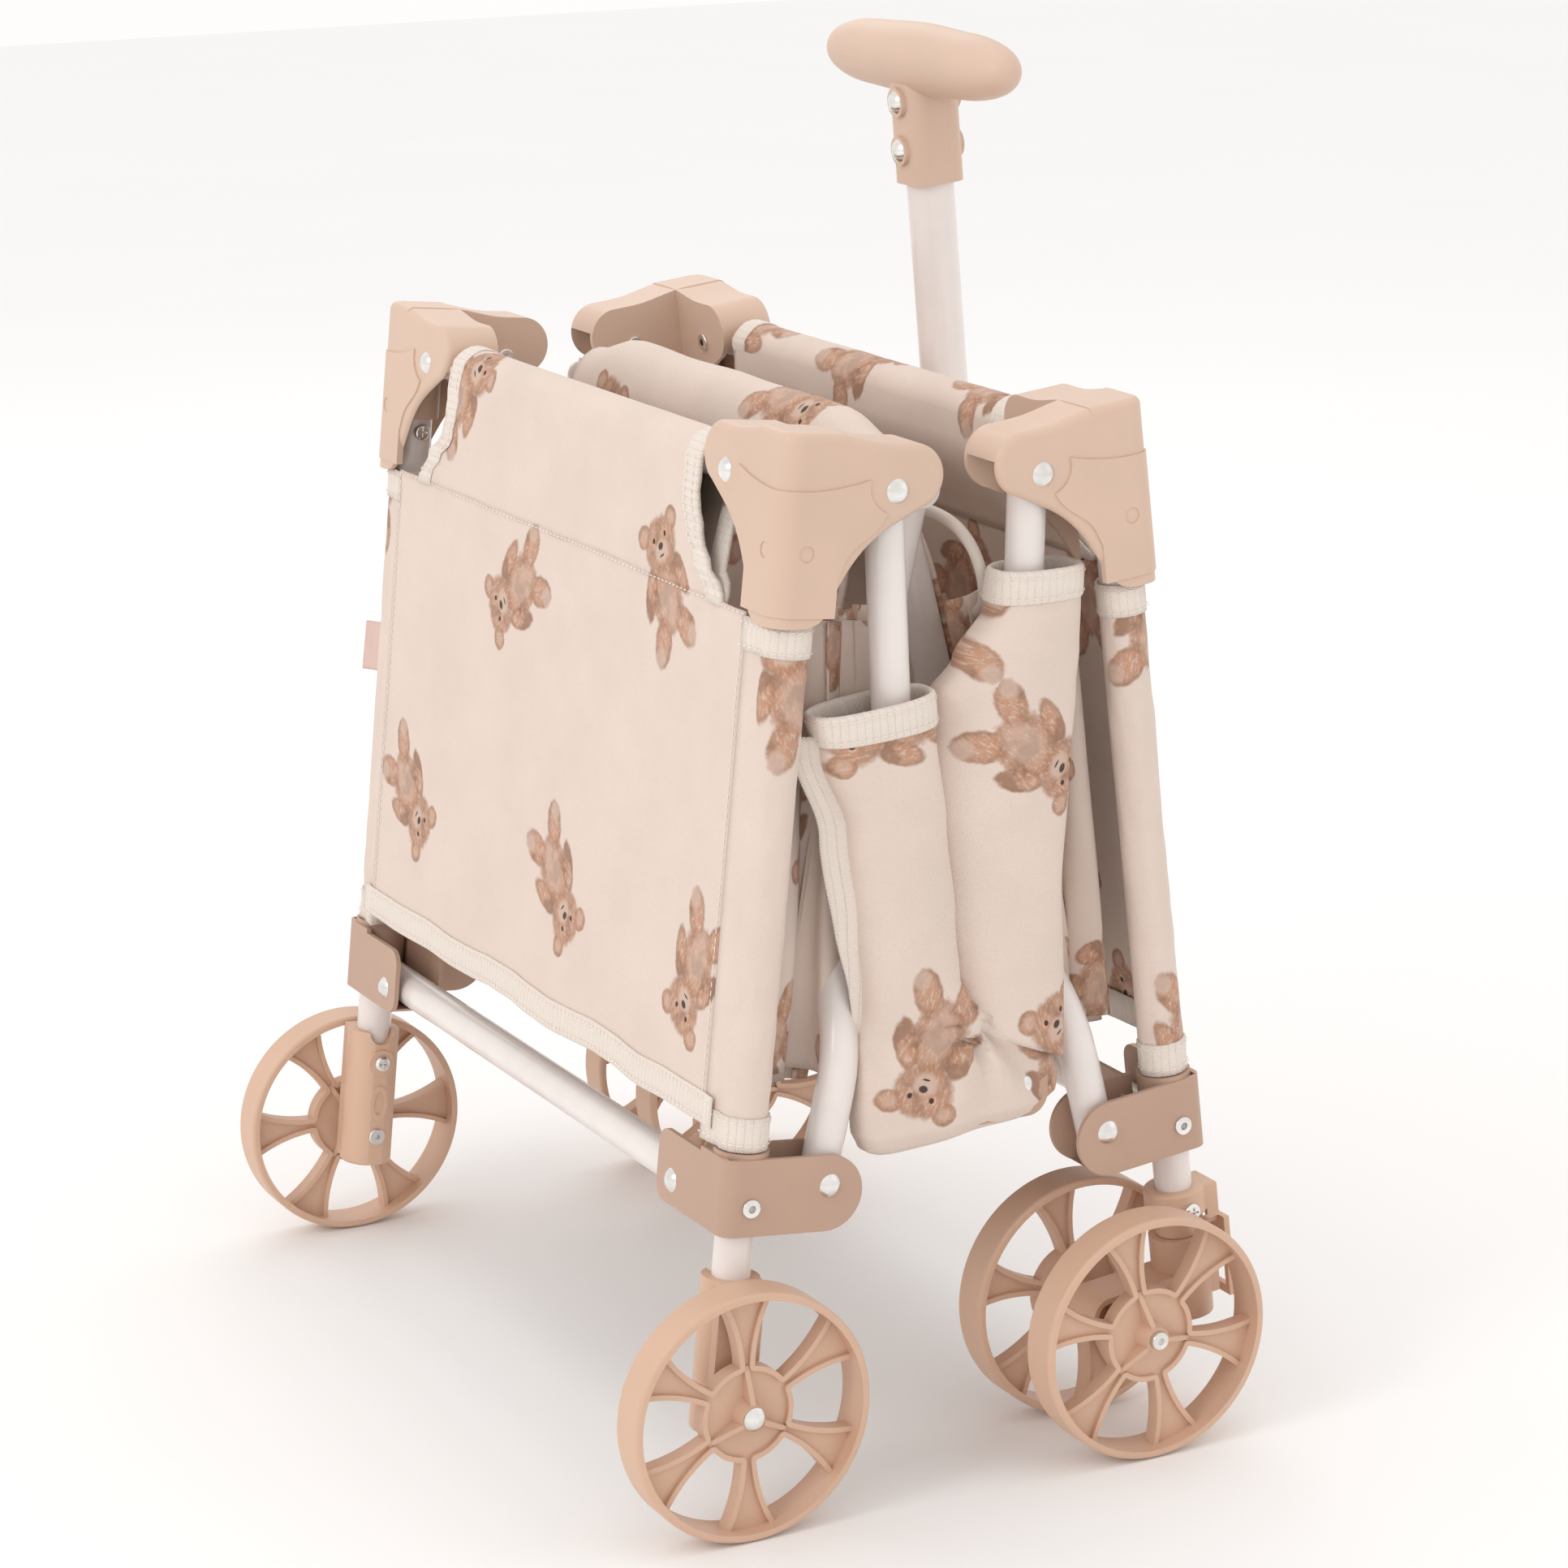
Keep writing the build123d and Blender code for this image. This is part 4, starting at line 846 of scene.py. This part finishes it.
class WAGON_OT_panel_tapes(bpy.types.Operator):
    """Twill tape folded over the foot and the notched corners of each end panel"""

    bl_idname = "wagon.panel_tapes"
    bl_label = "Panel tapes"

    def execute(self, context):
        for end in (REAR, FRONT):
            body = f"{END_NAMES[end]}_frame"
            width = sizes().tape
            rows = []
            across = steps(-SEAM_Y - 0.008, SEAM_Y + 0.008, 110)
            folded = (
                # lift off the cloth, height above the edge
                (0.0007, width),
                (0.0010, width - 0.0005),
                (0.0010, 0.0012),
                (0.0006, 0.0),
                (-0.0004, -0.0006),
                (-0.0014, 0.0),
                (-0.0016, width),
            )
            for lift, rise in folded:
                rows.append([panel_point(end, y, foot_edge(y) + rise, lift) for y in across])
            made = sheet_mesh(f"{END_NAMES[end]}_foot_tape", rows)
            thicken(made, sizes().tape_thick)
            dress(made, "tape", "fabric_plain", body)
            for side in (RIGHT, LEFT):
                self.notch(end, side, body)
        return {"FINISHED"}

    def notch(self, end, side, body):
        """Tape folded over one edge of the hem, up and over the top tube."""
        rows = []
        stops = [p for p in hem_profile() if p[0] < -0.004 or p[1] > CAP_RISE]
        for inset, lift in NOTCH_FOLD:
            row = []
            for u, h in stops:
                away = Vector((u, h - CAP_RISE)) if h > CAP_RISE else Vector((u, 0))
                away.normalize()
                y = side * (hem_half(h) - inset + 0.0005 * math.sin(h * 900))
                wave = panel_wave(end, y, h) * (1.0 if h < CAP_RISE else 0.4)
                row.append(end_point(end, u + away[0] * lift + wave, y, h + away[1] * lift))
            rows.append(row)
        made = sheet_mesh(f"{END_NAMES[end]}_notch_tape_{SIDE_NAMES[side]}", rows)
        thicken(made, sizes().tape_thick)
        dress(made, "tape", "fabric_plain", body)


# ---- Rail sleeves ----
def side_point(side, x, out, z):
    """x along the wagon, out from the leg plane, z up."""
    return Vector((x, side * (LEG_Y + out), z))


def flat_loop(side, middle, half, thick, z, tilt=0.0, lean_in=0.0, count=40, wave=0.0, seed=0):
    """A flattened oval of cloth round a rail; tilt raises it with x, lean_in sets its -x side inwards."""
    loop = []
    for k in range(count):
        a = 2 * math.pi * (k + 0.5) / count
        c, s = math.cos(a), math.sin(a)
        x = half * math.copysign(abs(c) ** 0.85, c)
        out = thick * math.copysign(abs(s) ** 0.7, s)
        out -= lean_in * smooth(-x / half)
        point = side_point(side, middle + x, out, z + tilt * x)
        if wave:
            sway = ripple((middle + x, out * 2, z * 0.6), 0.035, seed) * wave
            point += Vector((sway * 0.4, side * sway * (1 if s > 0 else -0.4), 0))
        loop.append(point)
    return loop


REAR_SLEEVE = (
    # height, middle, half width, half thickness, tilt
    (0.333, -0.0395, 0.0265, 0.0132, 0.10),
    (0.318, -0.0372, 0.0252, 0.0130, 0.08),
    (0.280, -0.0290, 0.0215, 0.0128, 0.02),
    (0.240, -0.0245, 0.0215, 0.0127, 0.0),
    (0.214, -0.0225, 0.0215, 0.0130, 0.0),
    (0.204, -0.0200, 0.0240, 0.0140, 0.0),
    (0.195, -0.0120, 0.0330, 0.0152, -0.06),
    (0.186, -0.0050, 0.0415, 0.0162, -0.06),
    (0.176, -0.0025, 0.0450, 0.0174, 0.0),
    (0.166, -0.0015, 0.0465, 0.0178, 0.05),
    (0.157, -0.0015, 0.0460, 0.0172, 0.08),
    (0.1505, -0.0030, 0.0420, 0.0140, 0.10),
    (0.1475, -0.0045, 0.0350, 0.0085, 0.10),
)
FRONT_SLEEVE = (
    # height, middle, half width, half thickness, tilt
    (0.3800, 0.0370, 0.0190, 0.0130, 0.0),
    (0.3650, 0.0355, 0.0200, 0.0130, 0.0),
    (0.3450, 0.0280, 0.0270, 0.0130, 0.0),
    (0.3300, 0.0225, 0.0310, 0.0130, 0.0),
    (0.2900, 0.0200, 0.0310, 0.0128, 0.0),
    (0.2400, 0.0200, 0.0275, 0.0126, 0.0),
    (0.2100, 0.0225, 0.0250, 0.0135, -0.18),
    (0.1835, 0.0235, 0.0230, 0.0175, -0.42),
)
SLEEVE_WAVE = 0.0013
PINCH = (0.000, 0.014, 0.197)  # x, out from the leg plane, z of the pinch the creases run from


def side_uvs(rows):
    """Cloth coordinates of a flattened sleeve: x and z outside, running on round the inside."""
    made = []
    for row in rows:
        left = min(point.x for point in row)
        line = [(p.x if k < len(row) // 2 else 2 * left - p.x, p.z) for k, p in enumerate(row)]
        made.append(line + [(2 * left - row[0].x, row[0].z)])
    return made


def table_at(table, z):
    """Row of a table at height z, between its own rows."""
    rising = sorted(table)
    return [curve_through([(row[0], row[k]) for row in rising], z) for k in range(1, len(table[0]))]


class WAGON_OT_rail_sleeves(bpy.types.Operator):
    """Loose cloth sleeves on the hanging side rails, the rear ones gathered into a bag at the folding link"""

    bl_idname = "wagon.rail_sleeves"
    bl_label = "Rail sleeves"

    def execute(self, context):
        for side in (RIGHT, LEFT):
            self.rear_sleeve(side)
            self.flap(side)
            self.front_sleeve(side)
        return {"FINISHED"}

    def loop(self, side, table, z, seed, grow=0.0, drop=0.0, count=40, fold=0.0):
        middle, half, thick, tilt = table_at(table, z)
        lean_in = fold * smooth((0.35 - z) / 0.03)
        half, thick = half + grow, thick + grow
        return flat_loop(side, middle, half, thick, z - drop, tilt, lean_in, count, SLEEVE_WAVE, seed)

    def mouth(self, name, side, table, seed, body):
        """Tape band round a sleeve's mouth, folded over its edge, and the lining inside."""
        top, width = table[0][0], sizes().tape
        outer = [(0.0006, width), (0.0010, width * 0.94), (0.0010, 0.0014), (0.0007, 0.0003), (0.0, -0.0003)]
        inner = [(-0.0007, 0.0003), (-0.0010, 0.0014), (-0.0010, width * 0.94)]
        rows = []
        for grow, drop in outer + inner:
            rows.append(self.loop(side, table, top - max(drop, 0.0), seed, grow, min(drop, 0.0)))
        made = sheet_mesh(name + "_tape", rows, ring=True)
        thicken(made, sizes().tape_thick)
        dress(made, "tape", "fabric_plain", body)
        lines = []
        for drop in (0.0022, 0.0106):
            line = self.loop(side, table, top - drop, seed, 0.0017)
            lines.append(line + line[:1])
        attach(stitch_rows(name + "_stitches", lines), body)
        rows = [self.loop(side, table, z, seed, -0.0016) for z in steps(top - 0.010, top - 0.028, 6)]
        made = sheet_mesh(name + "_lining", rows, ring=True)
        thicken(made, 0.0004)
        dress(made, "lining", "fabric_plain", body)

    def rear_sleeve(self, side):
        name = f"rear_rail_sleeve_{SIDE_NAMES[side]}"
        pinch = side_point(side, *PINCH)
        rows = []
        for z in steps(0.3325, 0.1475, 110):
            line = self.loop(side, REAR_SLEEVE, z, 3, count=84)
            for k, point in enumerate(line):
                away = point - pinch
                reach, angle = math.hypot(away.x, away.z), math.atan2(away.z, away.x)
                outer = smooth((side * point.y - LEG_Y - 0.002) / 0.006)
                below = smooth((0.012 - away.z) / 0.014)
                fade = math.exp(-((reach / 0.050) ** 2)) * smooth((reach - 0.001) / 0.012) * outer * below
                fade *= 0.35 + 0.65 * smooth((away.x + 0.022) / 0.02)
                crease = math.sin(angle * 9.0 + 1.3 * math.sin(angle * 2 + 1))
                line[k] = point + Vector((0, side * (crease * 0.0034 - 0.0024) * fade, 0))
            rows.append(line)
        bears = [(-0.019, 0.187, 159), (-0.036, 0.327, 100), (0.047, 0.166, 200), (-0.105, 0.24, 60)]
        made = sheet_mesh(name, rows, ring=True, caps=True, bears=bears, uvs=side_uvs(rows))
        thicken(made, sizes().cloth)
        dress(made, "print", "fabric_print")
        if side == RIGHT:
            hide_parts("rear_rail_sleeves", "link_covers")
        self.fold_at_link(made)
        self.mouth(name, side, REAR_SLEEVE, 3, "rear_upper_rails")

    def fold_at_link(self, made):
        """Bake the piece's placement into its mesh, where it stays fixed."""
        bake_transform(made)

    def flap(self, side):
        """Taped edge that hangs along the rear sleeve's outer side."""
        rows, uvs = [], []
        for z in steps(0.322, 0.193, 50):
            middle, half, _, _ = table_at(REAR_SLEEVE, z)
            width = 0.0125 * (0.35 + 0.65 * smooth((z - 0.19) / 0.07))
            row, line = [], []
            for t in steps(0, 1, 7):
                bend = 0.0025 * math.sin(t * 2.4) + 0.0008 * ripple((z, t * 0.01, side), 0.03, 2)
                x = middle - half + 0.004 - (width + 0.003) * t
                row.append(side_point(side, x, 0.0035 - bend - 0.003 * t, z))
                line.append((t * width, z))
            rows.append(row)
            uvs.append(line)
        made = sheet_mesh(f"rear_sleeve_flap_{SIDE_NAMES[side]}", rows, uvs=uvs)
        thicken(made, 0.0011)
        dress(made, "tape", "fabric_plain")
        self.fold_at_link(made)

    def front_sleeve(self, side):
        name = f"front_rail_sleeve_{SIDE_NAMES[side]}"
        rows = [self.loop(side, FRONT_SLEEVE, z, 7, count=60, fold=0.0065) for z in steps(0.3795, 0.1835, 72)]
        bears = [(0.031, 0.306, 235), (0.044, 0.176, 20), (-0.045, 0.25, 20), (-0.015, 0.36, 80)]
        made = sheet_mesh(name, rows, ring=True, bears=bears, uvs=side_uvs(rows))
        thicken(made, sizes().cloth)
        replaced = ["front_rail_sleeves"] if side == RIGHT else []
        dress(made, "print", "fabric_print", "front_upper_rails", *replaced)
        self.mouth(name, side, FRONT_SLEEVE, 7, "front_upper_rails")


# ---- Side walls ----
# Pivot (into the wagon, up the leg), rail direction in degrees, first and last radius, inset
UPPER_FAN = ((0.0375, CAP_RISE), -81.7, 0.058, 0.246, 0.018)
LOWER_FAN = ((0.0358, 0.007), 82.7, 0.034, 0.232, 0.027)
WALL_LEG_U = 0.0125
WALL_MIDDLE_H = 0.15


class WAGON_OT_side_walls(bpy.types.Operator):
    """Gathered side walls between each leg and the rails that fold beside it"""

    bl_idname = "wagon.side_walls"
    bl_label = "Side walls"

    def execute(self, context):
        for end in (REAR, FRONT):
            for side in (RIGHT, LEFT):
                self.fan(end, side, upper=True)
                self.fan(end, side, upper=False)
        return {"FINISHED"}

    def fan(self, end, side, upper):
        """A pleated fan from the leg to a rail, opening about the rail's pivot."""
        centre, rail_turn, low, high, inset = UPPER_FAN if upper else LOWER_FAN
        centre = Vector(centre)
        direction = Vector((math.cos(math.radians(rail_turn)), math.sin(math.radians(rail_turn))))
        rows, uvs = [], []
        for r in steps(low, high, 40):
            row, line = [], []
            rail = centre + direction * r
            for k in steps(0, 1, 46):
                u = WALL_LEG_U + (rail.x - WALL_LEG_U) * k
                grow = smooth((r - low) / 0.07) * 0.6 + 0.4
                pleat = math.sin(k * math.pi * 5 + 0.6 * math.sin(r * 30 + end)) * 0.0085 * grow
                pleat *= math.sin(math.pi * min(k * 1.15 + 0.05, 1.0)) ** 0.5 if k < 0.95 else 0.2
                out = -inset + pleat * 0.75 + 0.0015 * ripple((k, r, end * 2 + side), 0.2, 6)
                u += 0.002 * math.cos(k * math.pi * 10)
                row.append(end_point(end, u, side * (LEG_Y + out), rail.y))
                line.append((k * 0.22, r))
            rows.append(row)
            uvs.append(line)
        part = "upper" if upper else "lower"
        name = f"{END_NAMES[end]}_{part}_wall_{SIDE_NAMES[side]}"
        made = sheet_mesh(name, rows, bears=scattered(60 + end * 3 + side, 0, 0.22, 0.0, 0.28), uvs=uvs)
        thicken(made, sizes().cloth)
        dress(made, "print", "fabric_print")
        if side == RIGHT and upper:
            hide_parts(f"{END_NAMES[end]}_side_walls")
        rail_u = (centre + direction * (high - low)).x
        begin = end_point(end, WALL_LEG_U + 0.002, 0, WALL_MIDDLE_H)
        finish = end_point(end, rail_u - 0.002, 0, WALL_MIDDLE_H)
        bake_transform(made)


# ---- Floor ----
MAT_THICK = 0.0022
MAT_LIFT = 0.0105  # rail axis to the middle of the mat
MAT_FOOT = 0.032  # lower rail pivot to the mat's end
MAT_HEAD = 0.012  # middle hinge to where the mat leaves the rails


def floor_frame(end):
    """Origin, direction up the folded floor and its outward normal, for one half."""
    pivot = Vector((end * abs(FLOOR_PIVOT.x), 0, FLOOR_PIVOT.z))
    up = (Vector((0, 0, MID_HINGE.z)) - pivot).normalized()
    normal = Vector((end * up.z, 0, -end * up.x))
    return pivot, up, normal


class WAGON_OT_floor(bpy.types.Operator):
    """Printed floor mat on both pairs of lower rails, humped over the middle hinge"""

    bl_idname = "wagon.floor"
    bl_label = "Floor"

    def execute(self, context):
        rail = (MID_HINGE - FLOOR_PIVOT).length
        pivot, up, normal = floor_frame(REAR)
        path = [pivot + up * s + normal * MAT_LIFT for s in steps(MAT_FOOT, rail - MAT_HEAD, 40)]
        pivot, up, normal = floor_frame(FRONT)
        down = [pivot + up * s + normal * MAT_LIFT for s in steps(rail - MAT_HEAD, MAT_FOOT, 40)]
        rear_top, front_top = path[-1], down[0]
        for a in steps(0, math.pi, 15)[1:-1]:
            x = rear_top.x + (front_top.x - rear_top.x) * (0.5 - 0.5 * math.cos(a))
            path.append(Vector((x * 1.25, 0, rear_top.z + 0.032 * math.sin(a) ** 0.8)))
        path += down
        rows, uvs = [], []
        along = 0.0
        for k, place in enumerate(path):
            if k:
                along += (place - path[k - 1]).length
            near_top = smooth((place.z - 0.36) / 0.05)
            row, line = [], []
            for t in steps(-1, 1, 70):
                half = 0.133 + near_top * (0.007 if t > 0 else -0.008)
                y = t * half
                drop = 0.008 * near_top * smooth((abs(t) - 0.72) / 0.28)
                sag = 0.0016 * ripple((y, along, 0), 0.06, 3) - drop
                side_x = place.x + (0.0012 * ripple((y, along, 1), 0.05, 8))
                row.append(Vector((side_x, y, place.z + sag * near_top)))
                line.append((y, along))
            rows.append(row)
            uvs.append(line)
        bears = scattered(77, -0.14, 0.14, 0.0, along) + [(-0.06, 0.27, 100)]
        made = sheet_mesh("floor_mat", rows, bears=bears, uvs=uvs)
        thicken(made, MAT_THICK)
        dress(made, "print", "fabric_plain")
        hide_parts("rear_floor", "front_floor")
        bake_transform(made)
        return {"FINISHED"}


# ---- Pull loop ----
class WAGON_OT_pull_loop(bpy.types.Operator):
    """Soft cord loop that lifts the folded floor"""

    bl_idname = "wagon.pull_loop"
    bl_label = "Pull loop"

    def execute(self, context):
        near, far = -0.1365, -0.171
        route = [
            (0.016, near, 0.396),
            (0.016, far, 0.396),
            (0.026, far, 0.353),
            (0.026, near, 0.353),
        ]
        curve = bpy.data.curves.new("pull_loop_cord", "CURVE")
        curve.dimensions = "3D"
        curve.bevel_depth = sizes().cord / 2
        curve.bevel_resolution = 5
        curve.resolution_u = 16
        curve.use_fill_caps = True
        spline = curve.splines.new("NURBS")
        spline.points.add(len(route) - 1)
        for point, place in zip(spline.points, route):
            point.co = (*place, 1.0)
        spline.order_u = 3
        spline.use_endpoint_u = True
        made = bpy.data.objects.new("pull_loop_cord", curve)
        context.scene.collection.objects.link(made)
        dress(made, "cord", "cord", "front_lower_rails", "pull_loop")
        return {"FINISHED"}


# ---- Label ----
LABEL_H, LABEL_HALF, LABEL_OUT = 0.150, 0.0115, 0.0125


class WAGON_OT_label(bpy.types.Operator):
    """Blank folded label sewn into the rear left leg sleeve"""

    bl_idname = "wagon.label"
    bl_label = "Label"

    def execute(self, context):
        rows, uvs = [], []
        for k in steps(-1, 1, 15):
            h = LABEL_H + LABEL_HALF * k
            row, line = [], []
            for t in steps(0, 1, 12):
                out = 0.010 + LABEL_OUT * t
                bend = 0.0012 * math.sin(t * 3.0) + 0.0006 * ripple((h, t, 0), 0.02, 3)
                row.append(end_point(REAR, -0.004 - 0.004 * t + bend, LEG_Y + out, h - 0.001 * t))
                line.append((t * LABEL_OUT, h))
            rows.append(row)
            uvs.append(line)
        made = sheet_mesh("blank_label", rows, uvs=uvs)
        thicken(made, 0.0008)
        dress(made, "label", "fabric_plain", "rear_frame")
        return {"FINISHED"}


# ---- Finishes of the moulded and metal parts ----
def finish_of(name):
    if name.endswith(("fasteners", "rivets")) or name.startswith("caster_axle"):
        return "steel"
    if "_cap_" in name or name.startswith("grip_"):
        return "caps"
    if "bracket" in name or name.startswith("folding_link") or name == "handle_clamp":
        return "brackets"
    if "wheel" in name or name.startswith(("caster_", "swivel_lock")):
        return "wheels"
    if "leg" in name or "tube" in name or "rail" in name:
        return "paint"
    return "print"


class WAGON_OT_finishes(bpy.types.Operator):
    """Paint, moulded plastic and bright steel on the frame's own parts"""

    bl_idname = "wagon.finishes"
    bl_label = "Finishes"

    def execute(self, context):
        for name, node in NODES.items():
            if node.hide_render:
                continue
            chosen = material(finish_of(name))
            if not node.material_slots:
                raise RuntimeError(f"{name} has no material slot")
            for holder in node.material_slots:
                holder.material = chosen
        return {"FINISHED"}


# ---- Stage ----
class WAGON_OT_stage(bpy.types.Operator):
    """Pale floor, soft studio lights and the camera"""

    bl_idname = "wagon.stage"
    bl_label = "Stage"

    def execute(self, context):
        scene = context.scene
        half = sizes().floor
        mesh = bpy.data.meshes.new("stage_floor")
        corners = [(-half, -half, 0), (half, -half, 0), (half, half, 0), (-half, half, 0)]
        mesh.from_pydata(corners, [], [(0, 1, 2, 3)])
        floor = bpy.data.objects.new("stage_floor", mesh)
        mesh.transform(Matrix.Translation((0, 0, -0.0005)))
        mesh.materials.append(material("stage"))
        scene.collection.objects.link(floor)
        world = bpy.data.worlds.new("studio")
        scene.world = world
        world.use_nodes = True
        background = world.node_tree.nodes["Background"]
        background.inputs[0].default_value = (1.0, 0.985, 0.975, 1.0)
        background.inputs[1].default_value = 1.0
        self.light("key", (-2.6, -0.8, 1.8), 1.1, 14)
        self.light("fill", (1.9, -1.3, 1.5), 1.8, 1)
        self.light("top", (0.2, 0.4, 2.6), 2.2, 5)
        self.light("rim", (0.6, 2.0, 1.6), 1.2, 3)
        self.camera(scene)
        scene.view_settings.view_transform = "Standard"
        scene.view_settings.look = "None"
        return {"FINISHED"}

    def light(self, name, place, size, power):
        """A round soft light aimed at the wagon's middle."""
        lamp = bpy.data.lights.new(name, "AREA")
        lamp.shape = "DISK"
        lamp.size = size
        lamp.energy = power
        lamp.color = (1.0, 0.985, 0.965)
        made = bpy.data.objects.new(name, lamp)
        aim = Vector((0, 0, 0.28)) - Vector(place)
        made.matrix_world = Matrix.Translation(place) @ aim.to_track_quat("-Z", "Y").to_matrix().to_4x4()
        bpy.context.scene.collection.objects.link(made)

    def camera(self, scene):
        """A long lens, looking slightly down at the rear right corner."""
        eye = Vector((-0.8705, -1.7116, 0.7606))
        back = Vector((-0.4456, -0.8577, 0.2565)).normalized()
        right = Vector((0.8874, -0.4610, 0.0)).normalized()
        up = back.cross(right)
        roll = math.radians(-0.75)
        turned_right = right * math.cos(roll) + up * math.sin(roll)
        turned_up = up * math.cos(roll) - right * math.sin(roll)
        lens = bpy.data.cameras.new("camera")
        lens.sensor_width = 36.0
        lens.lens = 103.47
        lens.clip_end = 30.0
        made = bpy.data.objects.new("camera", lens)
        turn = Matrix((turned_right, turned_up, back)).transposed().to_4x4()
        made.matrix_world = Matrix.Translation(eye) @ turn
        scene.collection.objects.link(made)
        scene.camera = made


class WAGON_PT_panel(bpy.types.Panel):
    """Wagon tools in the 3D view's sidebar"""

    bl_label = "Folding wagon"
    bl_idname = "WAGON_PT_panel"
    bl_space_type = "VIEW_3D"
    bl_region_type = "UI"
    bl_category = "Wagon"

    def draw(self, context):
        layout = self.layout
        for group in (context.scene.wagon_colours, context.scene.wagon_sizes):
            for name in group.bl_rna.properties.keys():
                if name not in ("rna_type", "name"):
                    layout.prop(group, name)
        for operator in OPERATORS:
            layout.operator(operator.bl_idname)


OPERATORS = (
    WAGON_OT_stage,
    WAGON_OT_pull_loop,
    WAGON_OT_end_panels,
    WAGON_OT_panel_tapes,
    WAGON_OT_rail_sleeves,
    WAGON_OT_side_walls,
    WAGON_OT_floor,
    WAGON_OT_label,
    WAGON_OT_finishes,
)
CLASSES = (WagonColours, WagonSizes, *OPERATORS, WAGON_PT_panel)


def register():
    for item in CLASSES:
        bpy.utils.register_class(item)
    bpy.types.Scene.wagon_colours = PointerProperty(type=WagonColours)
    bpy.types.Scene.wagon_sizes = PointerProperty(type=WagonSizes)


def unregister():
    del bpy.types.Scene.wagon_sizes
    del bpy.types.Scene.wagon_colours
    for item in reversed(CLASSES):
        bpy.utils.unregister_class(item)


def main():
    register()
    for operator in OPERATORS:
        group, name = operator.bl_idname.split(".")
        result = getattr(getattr(bpy.ops, group), name)()
        if result != {"FINISHED"}:
            raise RuntimeError(f"{operator.bl_idname} did not finish")


if __name__ == "__main__":
    main()
